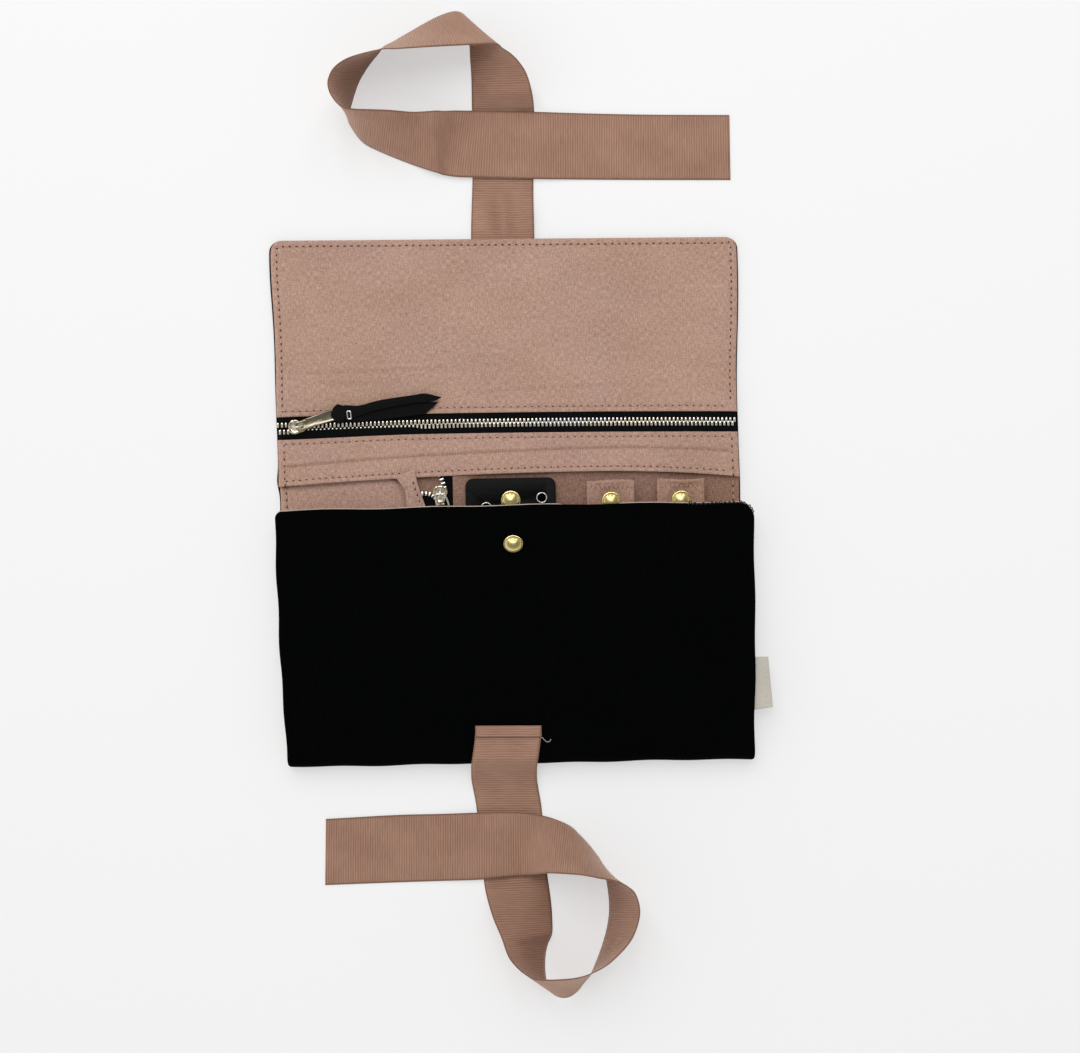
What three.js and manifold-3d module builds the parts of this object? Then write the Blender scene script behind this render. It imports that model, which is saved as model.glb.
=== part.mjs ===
// A tri-fold jewellery pouch of black cotton with a pink lining. The back panel lies on the table, the top flap is
// spread open beyond it, lining up, and the front flap is folded up over the back panel and snapped shut.
// Millimetres. +X runs along the folds, +Y from the front fold to the top flap, +Z up from the table.
// The origin is the middle of the back panel's underside.
import * as THREE from 'three';
import { mergeVertices } from 'three/addons/utils/BufferGeometryUtils.js';
import Module from 'manifold-3d';

const wasm = await Module();
wasm.setup();

// Panels: outline sizes and the layers of the quilted cloth
const PANEL_WIDTH = 248;
const FRONT_WIDTH = 251;
const BACK_LENGTH = 152;
const TOP_LENGTH = 127;
const FRONT_LENGTH = 136;
const CORNER_RADIUS = 6;
const CANVAS = 0.8;
const BATTING = 1.2;
const LINING = 0.6;
const LAYER_GAP = 0.1;
const SEAM_INSET = 0.8;
const FOLD_GAP = 0.6;

// Zips: one chain, tape and slider size serves both pockets
const CHAIN_WIDTH = 6;
const TOOTH_PITCH = 2.3;
const TOOTH_ROOT = 1.3;
const TOOTH_HEAD = 0.9;
const TOOTH_REACH = 0.5;
const TOOTH_HEIGHT = 1.8;
const BEAD_CORD = 1.8;
const TAPE = 0.4;
const TAPE_WIDTH = 13;
const ZIP_WINDOW = 11.4;
const LINING_SLOPE = 13;
const ROW_END = 1.5;
const SLIDER_LENGTH = 12;
const SLIDER_PLATE = 0.8;
const SLIDER_FLANGE = 0.7;
const SLIDER_CORNER = 2;
const POST_WIDTH = 1;
const RUN_CLEARANCE = 0.1;
const SIDE_CLEARANCE = 0.2;
const TAPE_CLEARANCE = 0.3;
const BRIDGE_LENGTH = 6.4;
const BRIDGE_WIDTH = 1.2;
const BRIDGE_WALL = 0.7;
const PULL = 1;
const PULL_LIFT = 0.4;
const PULL_PLAY = 0.3;

// Main zip: height above the top fold, where its slider stands, and its tab with a fabric strip
const MAIN_ZIP_RISE = 28.6;
const MAIN_SLIDER_INSET = 10.4;
const TAB_LENGTH = 21;
const TAB_WIDTH = 6;
const TAB_ARM = 1;
const TAB_TURN = 16;
const TAB_BAR = 1.6;
const TAB_HOLE_LENGTH = 1.8;
const TAB_HOLE_WIDTH = 3.4;
const STRIP = 1.4;
const STRIP_LENGTH = 55;
const STRIP_NECK = 6.4;
const STRIP_WIDTH = 9.2;
const STRIP_CUT = 11;
const STRIP_TURN = -9;
const LOOP_WIDTH = 2.6;
const LOOP_WALL = 0.6;
const CLIP_PLACE = 3;
const CLIP_LENGTH = 1.5;
const CLIP_WALL = 0.5;
const SOFT_GAP = 0.3;

// Side zip: its line across the back panel, its length, and its wire pull
const SIDE_ZIP_X = -37.4;
const SIDE_ZIP_LENGTH = 132;
const SIDE_SLIDER_INSET = 8.4;
const WIRE_PULL_LENGTH = 17;
const WIRE_PULL_WIDTH = 7.4;
const WIRE = 1.4;
const STOP_SIZE = 4;
const STOP_HEIGHT = 0.9;

// Snaps
const CAP_RADIUS = 5.5;
const CAP_HEIGHT = 2;
const CAP_RIM = 0.4;
const SNAP_RADIUS = 5;
const STUD_FLANGE = 0.5;
const SOCKET_HEIGHT = 1.5;
const NUB_RADIUS = 1.9;
const NUB_CLEARANCE = 0.2;
const STEM_RADIUS = 1.2;
const STEM_CLEARANCE = 0.15;

// Earring plate, its eyelets in two staggered columns, and the snap that closes the front flap
const PLATE = 1.4;
const PLATE_WIDTH = 48;
const PLATE_LENGTH = 54;
const PLATE_CORNER = 3.2;
const PLATE_SNAP_DROP = 12;
const CLOSURE_X = 1;
const CLOSURE_DROP = 35;
const EYELET_RADIUS = 3;
const EYELET_BORE = 1.9;
const EYELET_BARREL = 2.3;
const EYELET_RIM = 0.6;
const EYELET_ROWS = 3;
const EYELET_ROW_PITCH = 14;
const EYELET_COLUMNS = [{ x: 16.5, drop: 10.8 }, { x: -13, drop: 15.6 }];

// Straps
const STRAP = 0.8;
const STRAP_WIDTH = 24.5;
const STRAP_LENGTH = 66;
const STRAP_X = [53.5, 90.7];
const STRAP_DROP = 2.6;
const STRAP_SNAP_DROP = 11;
const STRAP_SLOPE = 20;

// Side label, left bare
const LABEL = 0.5;
const LABEL_LENGTH = 28;
const LABEL_DROP = 81.5;
const LABEL_REACH = 10;
const LABEL_SLANT = 2;

// Tie ribbons
const RIBBON_WIDTH = 35;
const RIBBON = 0.6;
const RIBBON_TUCK = 0.5;

// Places that follow from the sizes above
const panel = CANVAS + LAYER_GAP + BATTING + LAYER_GAP + LINING;
const battingZ = CANVAS + LAYER_GAP;
const backingZ = battingZ + BATTING + LAYER_GAP;
const liningZ = panel + LAYER_GAP;
const liningTop = liningZ + LINING;
const snapLift = STUD_FLANGE + LAYER_GAP + SOCKET_HEIGHT + LAYER_GAP;
const plateZ = liningTop + LAYER_GAP + snapLift;
const plateTop = plateZ + PLATE;
const frontZ = plateTop + LAYER_GAP + snapLift;
const frontTop = frontZ + panel;
const foldRadius = frontTop / 2;
const foldY = -BACK_LENGTH / 2;
const foldLineY = foldY + foldRadius;
const spineY = BACK_LENGTH / 2;
const backLow = foldLineY + FOLD_GAP / 2;
const backHigh = spineY - FOLD_GAP / 2;
const topLow = spineY + FOLD_GAP / 2;
const topHigh = spineY + TOP_LENGTH;
const frontHigh = foldY + FRONT_LENGTH;
const mainZipY = spineY + MAIN_ZIP_RISE;
const rowSpread = POST_WIDTH / 2 + TOOTH_REACH + SIDE_CLEARANCE;
const toothLow = LAYER_GAP + SLIDER_PLATE + RUN_CLEARANCE;
const toothTop = toothLow + TOOTH_HEIGHT;
const tapeLow = (toothLow + toothTop - TAPE) / 2;
const tapeTop = tapeLow + TAPE;
const sliderTop = toothTop + RUN_CLEARANCE + SLIDER_PLATE;
const pivotZ = sliderTop + PULL_LIFT + PULL / 2;
const bridgeTop = pivotZ + PULL / 2 + PULL_PLAY + BRIDGE_WALL;
const tapeEdge = CHAIN_WIDTH / 2 + LAYER_GAP;
const windowEdge = ZIP_WINDOW / 2;
const slopeStart = tapeEdge + TAPE_WIDTH + LAYER_GAP;
const raisedZ = panel + tapeTop + LAYER_GAP;

const black = new THREE.MeshStandardMaterial({ color: 0x0b0b0c, roughness: 0.95 });
const pink = new THREE.MeshStandardMaterial({ color: 0xb9937f, roughness: 0.9 });
const filling = new THREE.MeshStandardMaterial({ color: 0xe6e2da, roughness: 1 });
const tapeCloth = new THREE.MeshStandardMaterial({ color: 0x0d0d0f, roughness: 0.85 });
const grosgrain = new THREE.MeshStandardMaterial({ color: 0xa57d6c, roughness: 0.7 });
const leather = new THREE.MeshStandardMaterial({ color: 0x151517, roughness: 0.5 });
const paleGold = new THREE.MeshStandardMaterial({ color: 0xd9c9a0, roughness: 0.25, metalness: 1 });
const gold = new THREE.MeshStandardMaterial({ color: 0xd8b866, roughness: 0.2, metalness: 1 });
const steel = new THREE.MeshStandardMaterial({ color: 0xb8b8b6, roughness: 0.3, metalness: 1 });
const labelCloth = new THREE.MeshStandardMaterial({ color: 0xc8c1b6, roughness: 0.85 });

const pouch = new THREE.Group();

function addPiece(name, geometry, material, parent = pouch) {
  const piece = new THREE.Mesh(geometry, material);
  piece.name = name;
  parent.add(piece);
  return piece;
}

function toSolid(geometry) {
  const bare = geometry.clone();
  bare.deleteAttribute('normal');
  bare.deleteAttribute('uv');
  const merged = mergeVertices(bare, 1e-4);
  const corners = merged.index.array;
  const kept = [];
  for (let i = 0; i < corners.length; i += 3) {
    const [a, b, c] = [corners[i], corners[i + 1], corners[i + 2]];
    if (a !== b && b !== c && c !== a) kept.push(a, b, c);
  }
  return new wasm.Manifold(new wasm.Mesh({
    numProp: 3,
    vertProperties: merged.attributes.position.array,
    triVerts: new Uint32Array(kept),
  }));
}

function toGeometry(solid) {
  const data = solid.getMesh();
  const geometry = new THREE.BufferGeometry();
  geometry.setAttribute('position', new THREE.BufferAttribute(data.vertProperties, 3));
  geometry.setIndex(new THREE.BufferAttribute(data.triVerts, 1));
  return geometry;
}

function extrude(shape, low, high, curveSegments = 6) {
  const geometry = new THREE.ExtrudeGeometry(shape, { depth: high - low, bevelEnabled: false, curveSegments });
  return geometry.translate(0, 0, low);
}

// An upright rod, for drilling stem holes
function rod(x, y, radius, low, high) {
  return new THREE.CylinderGeometry(radius, radius, high - low, 16)
    .rotateX(Math.PI / 2)
    .translate(x, y, (low + high) / 2);
}

function drill(geometry, holes) {
  return toGeometry(holes.reduce((solid, hole) => solid.subtract(toSolid(hole)), toSolid(geometry)));
}

function roundHole(x, y, radius) {
  const hole = new THREE.Path();
  hole.absarc(x, y, radius, 0, 2 * Math.PI);
  return hole;
}

// A panel with square corners at its fold and round ones at its free edge
function panelShape(width, low, high, radius) {
  const shape = new THREE.Shape();
  shape.moveTo(-width / 2, low);
  shape.lineTo(width / 2, low);
  shape.absarc(width / 2 - radius, high - radius, radius, 0, Math.PI / 2);
  shape.absarc(-width / 2 + radius, high - radius, radius, Math.PI / 2, Math.PI);
  return shape;
}

function boxShape(left, right, low, high) {
  const shape = new THREE.Shape();
  shape.moveTo(left, low);
  shape.lineTo(right, low);
  shape.lineTo(right, high);
  shape.lineTo(left, high);
  return shape;
}

function roundedBox(left, right, low, high, radius) {
  const shape = new THREE.Shape();
  shape.absarc(right - radius, low + radius, radius, -Math.PI / 2, 0);
  shape.absarc(right - radius, high - radius, radius, 0, Math.PI / 2);
  shape.absarc(left + radius, high - radius, radius, Math.PI / 2, Math.PI);
  shape.absarc(left + radius, low + radius, radius, Math.PI, 1.5 * Math.PI);
  return shape;
}

function smooth(t) {
  const share = Math.min(Math.max(t, 0), 1);
  return share * share * (3 - 2 * share);
}

// A cloth strip that runs level, slopes to another height between slopeFrom and slopeTo, and runs level again
function slopedStrip(from, to, slopeFrom, slopeTo, fromZ, toZ, thickness, span) {
  const steps = 6;
  const places = [from];
  for (let i = 0; i <= steps; i++) places.push(slopeFrom + (slopeTo - slopeFrom) * i / steps);
  places.push(to);
  const height = (place) => fromZ + (toZ - fromZ) * smooth((place - slopeFrom) / (slopeTo - slopeFrom));
  const under = places.map((place) => new THREE.Vector2(place, height(place)));
  const over = places.map((place) => new THREE.Vector2(place, height(place) + thickness));
  return extrude(new THREE.Shape([...under, ...over.reverse()]), -span / 2, span / 2);
}

// Turns a drawn side view so that it runs along Y, or along X, with its width across
const alongY = new THREE.Matrix4().makeBasis(
  new THREE.Vector3(0, 1, 0), new THREE.Vector3(0, 0, 1), new THREE.Vector3(1, 0, 0));
const alongX = new THREE.Matrix4().makeBasis(
  new THREE.Vector3(1, 0, 0), new THREE.Vector3(0, 0, 1), new THREE.Vector3(0, -1, 0));

function turned(profile, segments) {
  return new THREE.LatheGeometry(profile.map(([r, z]) => new THREE.Vector2(r, z)), segments).rotateX(Math.PI / 2);
}

// Snap: a stud riveted through the lower cloth, a socket over its nub, and a domed cap riveted to the upper cloth
function addSnap(name, x, y, lowerTop, lowerCloth, upperZ, upperCloth, capMaterial) {
  const grip = upperCloth + LAYER_GAP;
  const dome = [];
  for (let i = 0; i <= 5; i++) {
    const turn = Math.PI / 2 * i / 5;
    dome.push([CAP_RADIUS * Math.cos(turn), CAP_RIM + (CAP_HEIGHT - CAP_RIM) * Math.sin(turn)]);
  }
  dome[dome.length - 1][0] = 0;
  const cap = turned([[0, -grip], [STEM_RADIUS, -grip], [STEM_RADIUS, 0], [CAP_RADIUS, 0], ...dome], 16);
  addPiece(`${name}_cap`, cap, capMaterial).position.set(x, y, upperZ + grip);

  const bore = NUB_RADIUS + NUB_CLEARANCE;
  const shoulder = SOCKET_HEIGHT / 3;
  const socket = turned([[bore, 0], [SNAP_RADIUS, 0], [SNAP_RADIUS, SOCKET_HEIGHT - shoulder],
    [SNAP_RADIUS - shoulder, SOCKET_HEIGHT], [bore, SOCKET_HEIGHT], [bore, 0]], 16);
  const socketZ = upperZ - LAYER_GAP - SOCKET_HEIGHT;
  addPiece(`${name}_socket`, socket, capMaterial).position.set(x, y, socketZ);

  const rivet = lowerCloth + LAYER_GAP;
  const nubTop = STUD_FLANGE + SOCKET_HEIGHT;
  const nubNeck = NUB_RADIUS * 0.8;
  const stud = turned([[0, -rivet], [STEM_RADIUS, -rivet], [STEM_RADIUS, 0], [SNAP_RADIUS, 0],
    [SNAP_RADIUS, STUD_FLANGE], [nubNeck, STUD_FLANGE], [NUB_RADIUS, (STUD_FLANGE + nubTop) / 2],
    [nubNeck, nubTop], [0, nubTop]], 14);
  addPiece(`${name}_stud`, stud, steel).position.set(x, y, lowerTop + LAYER_GAP);
}

// Teeth rows, tapes and slider of a zip. It runs along +X from its closed end, its slider parts the rows there,
// and height is counted from the cloth under it.
function zipParts(length, sliderInset) {
  const left = -length / 2;
  const right = length / 2;
  const sliderX = left + sliderInset;
  const partFrom = sliderX - SLIDER_LENGTH / 4;
  const partTo = sliderX + SLIDER_LENGTH / 4;
  const spread = (x) => rowSpread * (1 - smooth((x - partFrom) / (partTo - partFrom)));

  // Places along the chain where its edge bends round the slider's post, between two ends
  function bends(from, to) {
    const places = [from];
    for (let i = 0; i <= 6; i++) places.push(partFrom + (partTo - partFrom) * i / 6);
    places.push(to);
    return places;
  }

  function tape(side) {
    const shape = new THREE.Shape();
    shape.moveTo(left, side * (tapeEdge + TAPE_WIDTH));
    bends(left, right).forEach((x) => shape.lineTo(x, side * (tapeEdge + spread(x))));
    shape.lineTo(right, side * (tapeEdge + TAPE_WIDTH));
    return extrude(shape, tapeLow, tapeTop);
  }

  // A row of tapering teeth on the bead cord at the tape's edge, half a pitch behind the other row
  function teeth(side) {
    const shape = new THREE.Shape();
    const edge = CHAIN_WIDTH / 2;
    const root = edge - BEAD_CORD;
    const ends = bends(left + ROW_END, right - ROW_END);
    ends.forEach((x, i) => (i === 0 ? shape.moveTo(x, edge + spread(x)) : shape.lineTo(x, edge + spread(x))));
    shape.lineTo(right - ROW_END, root);
    const first = left + ROW_END + (side > 0 ? 1 : 1.5) * TOOTH_PITCH;
    const count = Math.floor((right - ROW_END - TOOTH_PITCH / 2 - first) / TOOTH_PITCH);
    for (let i = count; i >= 0; i--) {
      const x = first + i * TOOTH_PITCH;
      const apart = spread(x);
      shape.lineTo(x + TOOTH_ROOT / 2, root + apart);
      shape.lineTo(x + TOOTH_HEAD / 2, apart - TOOTH_REACH);
      shape.lineTo(x - TOOTH_HEAD / 2, apart - TOOTH_REACH);
      shape.lineTo(x - TOOTH_ROOT / 2, root + apart);
    }
    shape.lineTo(left + ROW_END, root + rowSpread);
    const row = extrude(shape, toothLow, toothTop);
    return side > 0 ? row : row.rotateX(Math.PI).translate(0, 0, toothLow + toothTop);
  }

  function slider() {
    const half = SLIDER_LENGTH / 2;
    const inner = (x) => CHAIN_WIDTH / 2 + SIDE_CLEARANCE + spread(x);
    const front = inner(sliderX - half) + SLIDER_FLANGE;
    const back = inner(sliderX + half) + SLIDER_FLANGE;
    const plate = new THREE.Shape();
    plate.moveTo(-half, front - SLIDER_CORNER);
    plate.quadraticCurveTo(-half, front, SLIDER_CORNER - half, front);
    plate.lineTo(partFrom - sliderX, front);
    plate.lineTo(partTo - sliderX, back);
    plate.lineTo(half - SLIDER_CORNER, back);
    plate.quadraticCurveTo(half, back, half, back - SLIDER_CORNER);
    plate.lineTo(half, SLIDER_CORNER - back);
    plate.quadraticCurveTo(half, -back, half - SLIDER_CORNER, -back);
    plate.lineTo(partTo - sliderX, -back);
    plate.lineTo(partFrom - sliderX, -front);
    plate.lineTo(SLIDER_CORNER - half, -front);
    plate.quadraticCurveTo(-half, -front, -half, SLIDER_CORNER - front);

    const flangeEnd = half - SLIDER_CORNER;
    const bite = SLIDER_PLATE / 4;
    const along = bends(sliderX - flangeEnd, sliderX + flangeEnd);
    const wall = [...along.map((x) => new THREE.Vector2(x - sliderX, inner(x))),
      ...along.reverse().map((x) => new THREE.Vector2(x - sliderX, inner(x) + SLIDER_FLANGE))];
    const otherWall = wall.map((point) => new THREE.Vector2(point.x, -point.y));

    const post = new THREE.Shape();
    const postTail = partFrom - sliderX;
    const postMiddle = (postTail - half) / 2;
    post.moveTo(-half + bite, 0);
    post.lineTo(postMiddle, -POST_WIDTH / 2);
    post.lineTo(postTail, 0);
    post.lineTo(postMiddle, POST_WIDTH / 2);

    const bridge = new THREE.Shape();
    const foot = BRIDGE_LENGTH / 2;
    const opening = foot - BRIDGE_WALL;
    bridge.moveTo(-foot, sliderTop - bite);
    bridge.lineTo(-opening, sliderTop - bite);
    bridge.lineTo(-opening, bridgeTop - BRIDGE_WALL);
    bridge.lineTo(opening, bridgeTop - BRIDGE_WALL);
    bridge.lineTo(opening, sliderTop - bite);
    bridge.lineTo(foot, sliderTop - bite);
    bridge.lineTo(foot, bridgeTop - BRIDGE_WALL);
    bridge.quadraticCurveTo(foot, bridgeTop, opening, bridgeTop);
    bridge.lineTo(-opening, bridgeTop);
    bridge.quadraticCurveTo(-foot, bridgeTop, -foot, bridgeTop - BRIDGE_WALL);

    const floor = LAYER_GAP + SLIDER_PLATE;
    const ceiling = sliderTop - SLIDER_PLATE;
    const walls = [wall, otherWall].flatMap((outline) => [
      extrude(new THREE.Shape(outline), floor - bite, tapeLow - TAPE_CLEARANCE),
      extrude(new THREE.Shape(outline), tapeTop + TAPE_CLEARANCE, ceiling + bite)]);
    const pieces = [
      extrude(plate, LAYER_GAP, floor, 4),
      extrude(plate, ceiling, sliderTop, 4),
      ...walls,
      extrude(post, floor - bite, ceiling + bite),
      extrude(bridge, -BRIDGE_WIDTH / 2, BRIDGE_WIDTH / 2, 4).applyMatrix4(alongX)];
    return toGeometry(wasm.Manifold.union(pieces.map(toSolid)));
  }

  return { left, right, sliderX, tape, teeth, slider };
}

// A flat pull whose bar lies under the slider's bridge, at the origin, and whose arms pass either side of it
function pullShape(length, width, arm, windowEnd) {
  const bar = PULL / 2;
  const shape = roundedBox(-bar, length, -width / 2, width / 2, PULL / 2);
  shape.holes.push(boxShape(bar, windowEnd, arm - width / 2, width / 2 - arm));
  return shape;
}

// A flat ribbon between two selvedges, through stations of [left x, y, z, right x, y, z]. Where a station would sink
// its lower selvedge into the table, the ribbon stands on the table instead.
function ribbonStrip(stations) {
  const stepsEach = 2;
  const leftEdge = new THREE.CatmullRomCurve3(stations.map((s) => new THREE.Vector3(s[0], s[1], s[2])));
  const rightEdge = new THREE.CatmullRomCurve3(stations.map((s) => new THREE.Vector3(s[3], s[4], s[5])));
  const steps = (stations.length - 1) * stepsEach;
  const corners = [];
  const faces = [];
  for (let i = 0; i <= steps; i++) {
    const left = leftEdge.getPoint(i / steps);
    const right = rightEdge.getPoint(i / steps);
    const centre = left.clone().add(right).multiplyScalar(0.5);
    const across = right.sub(left).setLength(RIBBON_WIDTH / 2);
    const ahead = leftEdge.getTangent(i / steps).add(rightEdge.getTangent(i / steps));
    const up = ahead.cross(across).setLength(RIBBON / 2);
    centre.z = Math.max(centre.z, Math.abs(across.z) + Math.abs(up.z));
    for (const [a, b] of [[1, 1], [-1, 1], [-1, -1], [1, -1]]) {
      corners.push(...centre.clone().addScaledVector(across, a).addScaledVector(up, b).toArray());
    }
    if (i === 0) continue;
    const start = (i - 1) * 4;
    for (let k = 0; k < 4; k++) {
      const next = (k + 1) % 4;
      faces.push(start + k, start + next, start + next + 4, start + k, start + next + 4, start + k + 4);
    }
  }
  const end = steps * 4;
  faces.push(3, 2, 1, 3, 1, 0, end, end + 1, end + 2, end, end + 2, end + 3);
  const geometry = new THREE.BufferGeometry();
  geometry.setAttribute('position', new THREE.Float32BufferAttribute(corners, 3));
  geometry.setIndex(faces);
  return geometry;
}

// Back panel: canvas, batting and pocket backing
const insetWidth = PANEL_WIDTH - 2 * SEAM_INSET;
const backEdge = insetWidth / 2;
const backCanvas = boxShape(-PANEL_WIDTH / 2, PANEL_WIDTH / 2, backLow, backHigh);
const backLayer = boxShape(-backEdge, backEdge, backLow, backHigh);
addPiece('back_outer_panel', extrude(backCanvas, 0, CANVAS), black);
addPiece('back_batting', extrude(backLayer, battingZ, battingZ + BATTING), filling);
addPiece('back_pocket_backing', extrude(backLayer, backingZ, panel), pink);

// Front fold: the three layers turn round together from the back panel to the front flap
const foldShape = new THREE.Shape();
foldShape.absarc(0, 0, foldRadius, Math.PI / 2, 1.5 * Math.PI);
foldShape.absarc(0, 0, foldRadius - panel, 1.5 * Math.PI, Math.PI / 2, true);
const foldHalf = (PANEL_WIDTH + FRONT_WIDTH) / 4;
const fold = extrude(foldShape, -foldHalf, foldHalf, 12).applyMatrix4(alongY);
addPiece('bottom_fold', fold, black).position.set(0, foldLineY, foldRadius);

// Side pocket: lining panel left of the side zip, and the middle lining right of it, raised over the tapes
const backMiddle = (backLow + backHigh) / 2;
const backSpan = backHigh - backLow;
const sideSlopeFrom = SIDE_ZIP_X - slopeStart - LINING_SLOPE;
const sidePanel = slopedStrip(-backEdge, SIDE_ZIP_X - windowEdge, sideSlopeFrom, SIDE_ZIP_X - slopeStart,
  liningZ, raisedZ, LINING, backSpan).applyMatrix4(alongX).translate(0, backMiddle, 0);
addPiece('side_pocket_panel', sidePanel, pink);

const plateHigh = backHigh - LAYER_GAP;
const plateSnapY = plateHigh - PLATE_SNAP_DROP;
const strapHigh = backHigh - STRAP_DROP;
const strapSnapY = strapHigh - STRAP_SNAP_DROP;
const middleLining = slopedStrip(SIDE_ZIP_X + windowEdge, backEdge, SIDE_ZIP_X + slopeStart,
  SIDE_ZIP_X + slopeStart + LINING_SLOPE, raisedZ, liningZ, LINING, backSpan)
  .applyMatrix4(alongX).translate(0, backMiddle, 0);
const stemHole = STEM_RADIUS + STEM_CLEARANCE;
const studPlaces = [[0, plateSnapY], ...STRAP_X.map((x) => [x, strapSnapY])];
const studHoles = studPlaces.map(([x, y]) => rod(x, y, stemHole, 0, frontTop));
addPiece('middle_lining', drill(middleLining, studHoles), pink);

// Side zip: it runs down the back panel, its slider at the top
const sideZip = new THREE.Group();
sideZip.position.set(SIDE_ZIP_X, backHigh - SIDE_ZIP_LENGTH / 2, panel);
sideZip.rotation.z = -Math.PI / 2;
pouch.add(sideZip);
const side = zipParts(SIDE_ZIP_LENGTH, SIDE_SLIDER_INSET);
addPiece('side_zip_tape_left', side.tape(-1), tapeCloth, sideZip);
addPiece('side_zip_tape_right', side.tape(1), tapeCloth, sideZip);
addPiece('side_zip_teeth_left', side.teeth(-1), paleGold, sideZip);
addPiece('side_zip_teeth_right', side.teeth(1), paleGold, sideZip);
addPiece('side_zip_slider', side.slider(), paleGold, sideZip).position.x = side.sliderX;
const wireWindow = WIRE_PULL_LENGTH - WIRE;
const wirePull = pullShape(WIRE_PULL_LENGTH, WIRE_PULL_WIDTH, WIRE, wireWindow);
addPiece('side_zip_pull', extrude(wirePull, -PULL / 2, PULL / 2), steel, sideZip).position.set(side.sliderX, 0, pivotZ);
const stopShape = roundedBox(-STOP_SIZE / 2, STOP_SIZE / 2, -STOP_SIZE / 2, STOP_SIZE / 2, STOP_HEIGHT / 2);
addPiece('side_zip_stop', extrude(stopShape, 0, STOP_HEIGHT, 2), paleGold, sideZip)
  .position.set(side.right - STOP_SIZE / 2, 0, toothTop + LAYER_GAP);

// Earring plate: leather with eyelets, snapped to the lining and carrying the stud of the flap's closing snap
const closureY = plateHigh - CLOSURE_DROP;
const plateShape = roundedBox(-PLATE_WIDTH / 2, PLATE_WIDTH / 2, plateHigh - PLATE_LENGTH, plateHigh, PLATE_CORNER);
plateShape.holes.push(roundHole(0, plateSnapY, stemHole), roundHole(CLOSURE_X, closureY, stemHole));
const eyelet = turned([[EYELET_BORE, -PLATE], [EYELET_BARREL, -PLATE], [EYELET_BARREL, LAYER_GAP],
  [EYELET_RADIUS, LAYER_GAP], [EYELET_RADIUS, EYELET_RIM / 2], [EYELET_BARREL, EYELET_RIM],
  [EYELET_BORE, EYELET_RIM], [EYELET_BORE, -PLATE]], 14);
EYELET_COLUMNS.forEach(({ x, drop }, column) => {
  for (let row = 0; row < EYELET_ROWS; row++) {
    const y = plateHigh - drop - row * EYELET_ROW_PITCH;
    plateShape.holes.push(roundHole(x, y, EYELET_BARREL + STEM_CLEARANCE));
    addPiece(`earring_eyelet_${column * EYELET_ROWS + row + 1}`, eyelet, steel).position.set(x, y, plateTop);
  }
});
addPiece('earring_plate', extrude(plateShape, plateZ, plateTop), leather);
addSnap('plate_snap', 0, plateSnapY, liningTop, LINING, plateZ, PLATE, gold);

// Straps: sewn flat to the lining at their lower end, snapped over a stud at their free end
STRAP_X.forEach((x, i) => {
  const slopeTo = strapSnapY - SNAP_RADIUS - LAYER_GAP;
  const strap = slopedStrip(strapHigh - STRAP_LENGTH, strapHigh, slopeTo - STRAP_SLOPE, slopeTo,
    liningTop + LAYER_GAP, plateZ, STRAP, STRAP_WIDTH).applyMatrix4(alongY).translate(x, 0, 0);
  const hole = rod(x, strapSnapY, stemHole, liningTop, frontTop);
  addPiece(`strap_${i + 1}`, drill(strap, [hole]), pink);
  addSnap(`strap_${i + 1}_snap`, x, strapSnapY, liningTop, LINING, plateZ, STRAP, gold);
});

// Top flap: canvas, batting, pocket backing, and the lining in two pieces either side of the zip window
const topCanvas = panelShape(PANEL_WIDTH, topLow, topHigh, CORNER_RADIUS);
const topLayer = panelShape(insetWidth, topLow, topHigh - SEAM_INSET, CORNER_RADIUS);
addPiece('top_outer_panel', extrude(topCanvas, 0, CANVAS), black);
addPiece('top_batting', extrude(topLayer, battingZ, battingZ + BATTING), filling);
addPiece('top_pocket_backing', extrude(topLayer, backingZ, panel), pink);
const upperLining = slopedStrip(mainZipY + windowEdge, topHigh - SEAM_INSET, mainZipY + slopeStart,
  mainZipY + slopeStart + LINING_SLOPE, raisedZ, liningZ, LINING, insetWidth).applyMatrix4(alongY);
const roundedCorners = toSolid(extrude(topLayer, 0, frontTop));
addPiece('upper_lining', toGeometry(toSolid(upperLining).intersect(roundedCorners)), pink);
const lowerSlopeTo = mainZipY - slopeStart;
const lowerLining = slopedStrip(topLow, mainZipY - windowEdge, (topLow + lowerSlopeTo) / 2 - LINING_SLOPE / 4,
  lowerSlopeTo, liningZ, raisedZ, LINING, insetWidth).applyMatrix4(alongY);
addPiece('lower_lining', lowerLining, pink);

// Main zip: side seam to side seam, its slider at the left
const mainZip = new THREE.Group();
mainZip.position.set(0, mainZipY, panel);
pouch.add(mainZip);
const main = zipParts(insetWidth, MAIN_SLIDER_INSET);
addPiece('zip_tape_upper', main.tape(1), tapeCloth, mainZip);
addPiece('zip_tape_lower', main.tape(-1), tapeCloth, mainZip);
addPiece('zip_teeth_upper', main.teeth(1), paleGold, mainZip);
addPiece('zip_teeth_lower', main.teeth(-1), paleGold, mainZip);
addPiece('zip_slider', main.slider(), paleGold, mainZip).position.x = main.sliderX;

// Pull of the main zip: a metal tab, a fabric strip looped through its end, and a clip round the strip's neck
const pull = new THREE.Group();
pull.position.set(main.sliderX, 0, pivotZ);
pull.rotation.z = THREE.MathUtils.degToRad(TAB_TURN);
mainZip.add(pull);
const tabShape = pullShape(TAB_LENGTH, TAB_WIDTH, TAB_ARM, BRIDGE_LENGTH / 2 + TAB_ARM);
const holeEnd = TAB_LENGTH - TAB_BAR;
tabShape.holes.push(boxShape(holeEnd - TAB_HOLE_LENGTH, holeEnd, -TAB_HOLE_WIDTH / 2, TAB_HOLE_WIDTH / 2));
addPiece('zip_pull_tab', extrude(tabShape, -PULL / 2, PULL / 2), steel, pull);

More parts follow.
